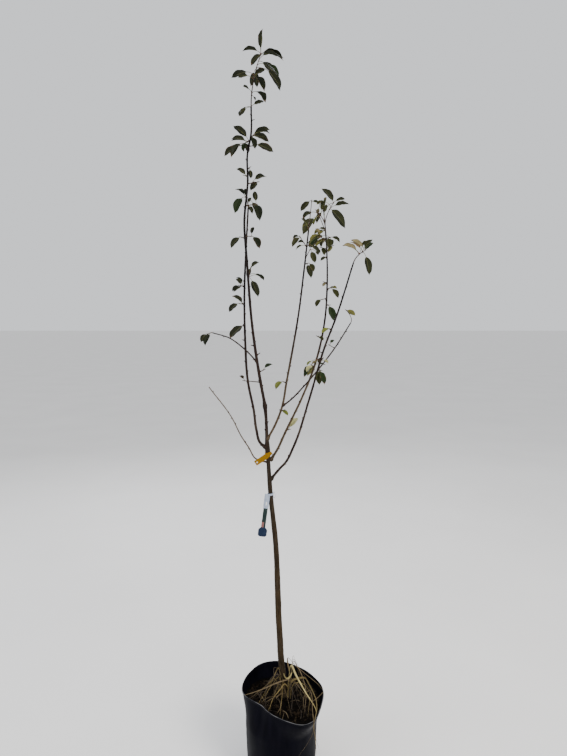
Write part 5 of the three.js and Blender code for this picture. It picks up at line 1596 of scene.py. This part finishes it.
def plate(rows, half, columns, thickness, hole=None):
    """Flat plate from a grid: heights, half width at each, and columns as shares of it. Cells whose
    middle a hole takes are left out, and walls close every edge. Also the middle of each face"""
    z = np.array(rows, float)
    x = np.array(half)[:, None] * np.array(columns)
    front = np.stack([x, np.full_like(x, -thickness / 2), np.broadcast_to(z[:, None], x.shape)], -1)
    back = front * vec(1, -1, 1)
    points = np.concatenate([front.reshape(-1, 3), back.reshape(-1, 3)])
    count, width = x.size, len(columns)
    faces = []

    def solid(i, j):
        if not (0 <= i < len(z) - 1 and 0 <= j < width - 1):
            return False
        middle = front[i:i + 2, j:j + 2].reshape(4, 3).mean(0)
        return hole is None or not hole(middle[0], middle[2])

    for i in range(len(z) - 1):
        for j in range(width - 1):
            if not solid(i, j):
                continue
            a, b = i * width + j, i * width + j + 1
            c, d = b + width, a + width
            faces += [(a, b, c), (a, c, d), (a + count, c + count, b + count),
                      (a + count, d + count, c + count)]
            for (p, q), (di, dj) in (((a, b), (-1, 0)), ((b, c), (0, 1)), ((c, d), (1, 0)),
                                     ((d, a), (0, -1))):
                if not solid(i + di, j + dj):
                    faces += [(p, p + count, q + count), (p, q + count, q)]
    faces = np.array(faces)
    used = np.unique(faces)
    renumber = np.zeros(len(points), int)
    renumber[used] = np.arange(len(used))
    points, faces = points[used], renumber[faces]
    return points, faces, points[faces].mean(1)


def soften(made, width):
    """Rounded edges on a plate-like piece"""
    modifier = made.modifiers.new("rounded", "BEVEL")
    modifier.width = width * MM
    modifier.segments = 2
    modifier.limit_method = "ANGLE"
    modifier.angle_limit = math.radians(50)


def make_tag(trunk):
    """Blank hanging tag: band round the trunk, loop's end and a strip in its four colours"""
    put, inner = trunk_place(trunk, TAG_HEIGHT, TAG_CLEARANCE)
    half_widths, tops = zip(*TAG_HALF_OUTLINE)
    rows = np.arange(tops[0], tops[-1], -TAG_ROW).tolist()
    heights = sorted({*rows, *tops, *TAG_SLOT, *TAG_ROWS}, reverse=True)
    half = np.interp([-z for z in heights], [-z for z in tops], half_widths)
    slot_half = TAG_SLOT_HALF / half_widths[0]
    right = [slot_half, slot_half * 2, *TAG_COLUMNS]
    columns = [-x for x in right[::-1]] + [0] + right
    points, faces, middles = plate(
        heights, half, columns, TAG_THICKNESS,
        lambda x, z: abs(x) < TAG_SLOT_HALF and TAG_SLOT[0] < z < TAG_SLOT[1])
    x, _, z = middles.T
    paint = np.select([z > TAG_WHITE_ABOVE, z > TAG_TEAL_ABOVE], [0, 1], 2)
    paint = np.where((z < TAG_PINK_BELOW) & (z > TAG_TEAL_ABOVE) & (x < TAG_PINK_EDGE), 3, paint)
    bow, run = TAG_BOW
    points[:, 1] += TAG_CUP * points[:, 0] ** 2 - bow * np.sin(points[:, 2] / run) ** 2
    points = tilt(points, TAG_LEAN) + vec(-TAG_SHIFT, -(inner + TAG_STANDOFF * TAG_THICKNESS), 0)
    round_trunk = inner + TAG_THICKNESS / 2
    loop, loop_faces = strap(TAG_LOOP_WIDTH / 2, TAG_LOOP_HEIGHT / 2, TAG_THICKNESS,
                             TAG_LOOP_THICKNESS, TAG_LOOP_SQUARE)
    loop = loop[:, [0, 2, 1]] + vec(inner + TAG_LOOP_WIDTH / 2 - TAG_LOOP_SUNK, 0, -TAG_LOOP_DROP)
    heap = Heap()
    heap.add(put((points, faces)), paint)
    for made in (strap(round_trunk, round_trunk, TAG_BAND, TAG_THICKNESS), bridge(round_trunk),
                 (loop, loop_faces)):
        heap.add(put(made))
    made = heap.piece("hang_tag_strip", [FINISHES["tag_" + paint] for paint in TAG_PAINTS],
                      "tag_plastic", "hang_tag", sharp=40)
    soften(made, TAG_ROUNDED)


def bridge(front):
    """Short end of the strap that joins the band to the strip's top"""
    s = np.linspace(0, 1, BRIDGE_ROWS)
    centres = grid(-(TAG_SHIFT + BRIDGE_PAST) * s, -front - BRIDGE_SWING * smooth(s * 2), 0)
    up, beside = (np.broadcast_to(way, centres.shape) for way in (vec(0, 0, 1), vec(0, 1, 0)))
    corner = np.array(BRIDGE_CORNERS)
    return sweep(centres, up, beside, np.vstack([corner, -corner]) * vec(TAG_BAND, TAG_THICKNESS))


def make_label(trunk):
    """Blank yellow label: a band and a slightly bowed plate with a round hole"""
    put, inner = trunk_place(trunk, LABEL_HEIGHT, LABEL_CLEARANCE)
    hole = vec(LABEL_HOLE_INSET - LABEL_LENGTH / 2, 0)
    far = LABEL_LENGTH / 2
    angle = TURN * (np.arange(LABEL_SIDES) + 0.5) / LABEL_SIDES
    ring = grid(np.cos(angle), np.sin(angle))
    ahead = np.where(ring[:, 0] > 0, far - hole[0], LABEL_HOLE_INSET - 0.01)
    reach = np.minimum(ahead / np.abs(ring[:, 0]).clip(1e-6),
                       LABEL_WIDTH / 2 / np.abs(ring[:, 1]).clip(1e-6))
    edge, near = hole + ring * reach[:, None], hole + ring * LABEL_HOLE_RADIUS
    t = LABEL_THICKNESS / 2
    profile = [(share, t - cut) for share, cut in LABEL_PROFILE]
    rings = []
    for share, depth in profile + [(share, -depth) for share, depth in profile[::-1]]:
        x, z = mix(near, edge, share).T
        rings.append(grid(x, -depth, z))
    rings = np.stack(rings)
    rings[..., 1] -= LABEL_BOW * (1 - (rings[..., 0] / far) ** 2) - LABEL_BOW_MIDDLE
    points = tilt(rings.reshape(-1, 3), -LABEL_SLOPE) \
        + vec(LABEL_CENTRE[0], -inner - t, LABEL_CENTRE[1])
    heap = Heap()
    heap.add(put((points, ring_faces(len(rings), LABEL_SIDES, True))))
    heap.add(put(strap(inner + t, inner + t, LABEL_BAND, LABEL_THICKNESS)))
    heap.piece("yellow_label_plate", [FINISHES["label_yellow"]], "label_plastic", "yellow_label",
               sharp=40)


# Stage and making
def make_stage():
    """Camera at the photograph's angle, plain pale floor and plain soft studio light"""
    scene = bpy.context.scene
    lens = bpy.data.cameras.new("camera")
    lens.lens, lens.sensor_width = CAMERA_LENS, CAMERA_SENSOR
    scene.camera = add_object("camera", lens)
    scene.camera.location = CAMERA_PLACE
    scene.camera.rotation_euler = (math.radians(90 - CAMERA_PITCH), 0, 0)
    mesh = bpy.data.meshes.new("floor")
    side = FLOOR_SIZE / 2
    mesh.from_pydata([(-side, -side, 0), (side, -side, 0), (side, side, 0), (-side, side, 0)], [],
                     [(0, 1, 2, 3)])
    mesh.materials.append(FINISHES["floor_pale"])
    add_object("floor", mesh)
    scene.world = bpy.data.worlds.new("studio")
    scene.world.use_nodes = True
    background = scene.world.node_tree.nodes["Background"]
    background.inputs[0].default_value = (*WORLD_COLOUR, 1)
    background.inputs[1].default_value = WORLD_STRENGTH
    for name, place, size, power, colour in LIGHTS:
        lamp = bpy.data.lights.new(name, "AREA")
        lamp.shape, lamp.size, lamp.energy, lamp.color = "DISK", size, power, colour
        light = add_object(name, lamp)
        light.location = place
        light.rotation_mode = "QUATERNION"
        light.rotation_quaternion = (Vector(LIGHT_AIM) - Vector(place)).to_track_quat("-Z", "Y")


def make_tree():
    """Limbs, then the crown on them and the pieces that its parts are joined in"""
    limbs = [Limb("trunk", TRUNK_ROUTE)]
    for name, parent, ends, route in BOUGHS:
        limb = Limb(name, route, ends)
        limb.collar = next(other for other in limbs if other.name == parent).place(route[0][2])[1]
        limbs.append(limb)
    crown = Crown(limbs)
    crown.grow()
    barks = {name: bark_material(name, *look) for name, look in BARKS.items()}
    for limb in limbs:
        make_limb(limb, crown.buds, barks[OWN_BARKS.get(limb.name, "bough_bark")])
    for name, heap, slot, finishes in (
            ("twigs", crown.twigs, "bough_bark", ["twig_bark"]),
            ("leaf_stalks", crown.stalks, "leaf_yellow", ["stalk_green", "stalk_red"]),
            ("buds", crown.buds, "bough_bark", ["bud_brown"])):
        heap.piece(name, [FINISHES[finish] for finish in finishes], slot, sharp=60)
    return limbs[0]


FINISHES = {name: plain_material(name, *look) for name, look in FINISH_LOOKS.items()}

make_stage()
trunk = make_tree()
make_pot()
INNER_WALL = np.hypot(*pot_ring([SOIL_EDGE_HEIGHT], [POT_WALL])[0][:, :2].T)
make_soil()
make_straw()
make_tag(trunk)
make_label(trunk)
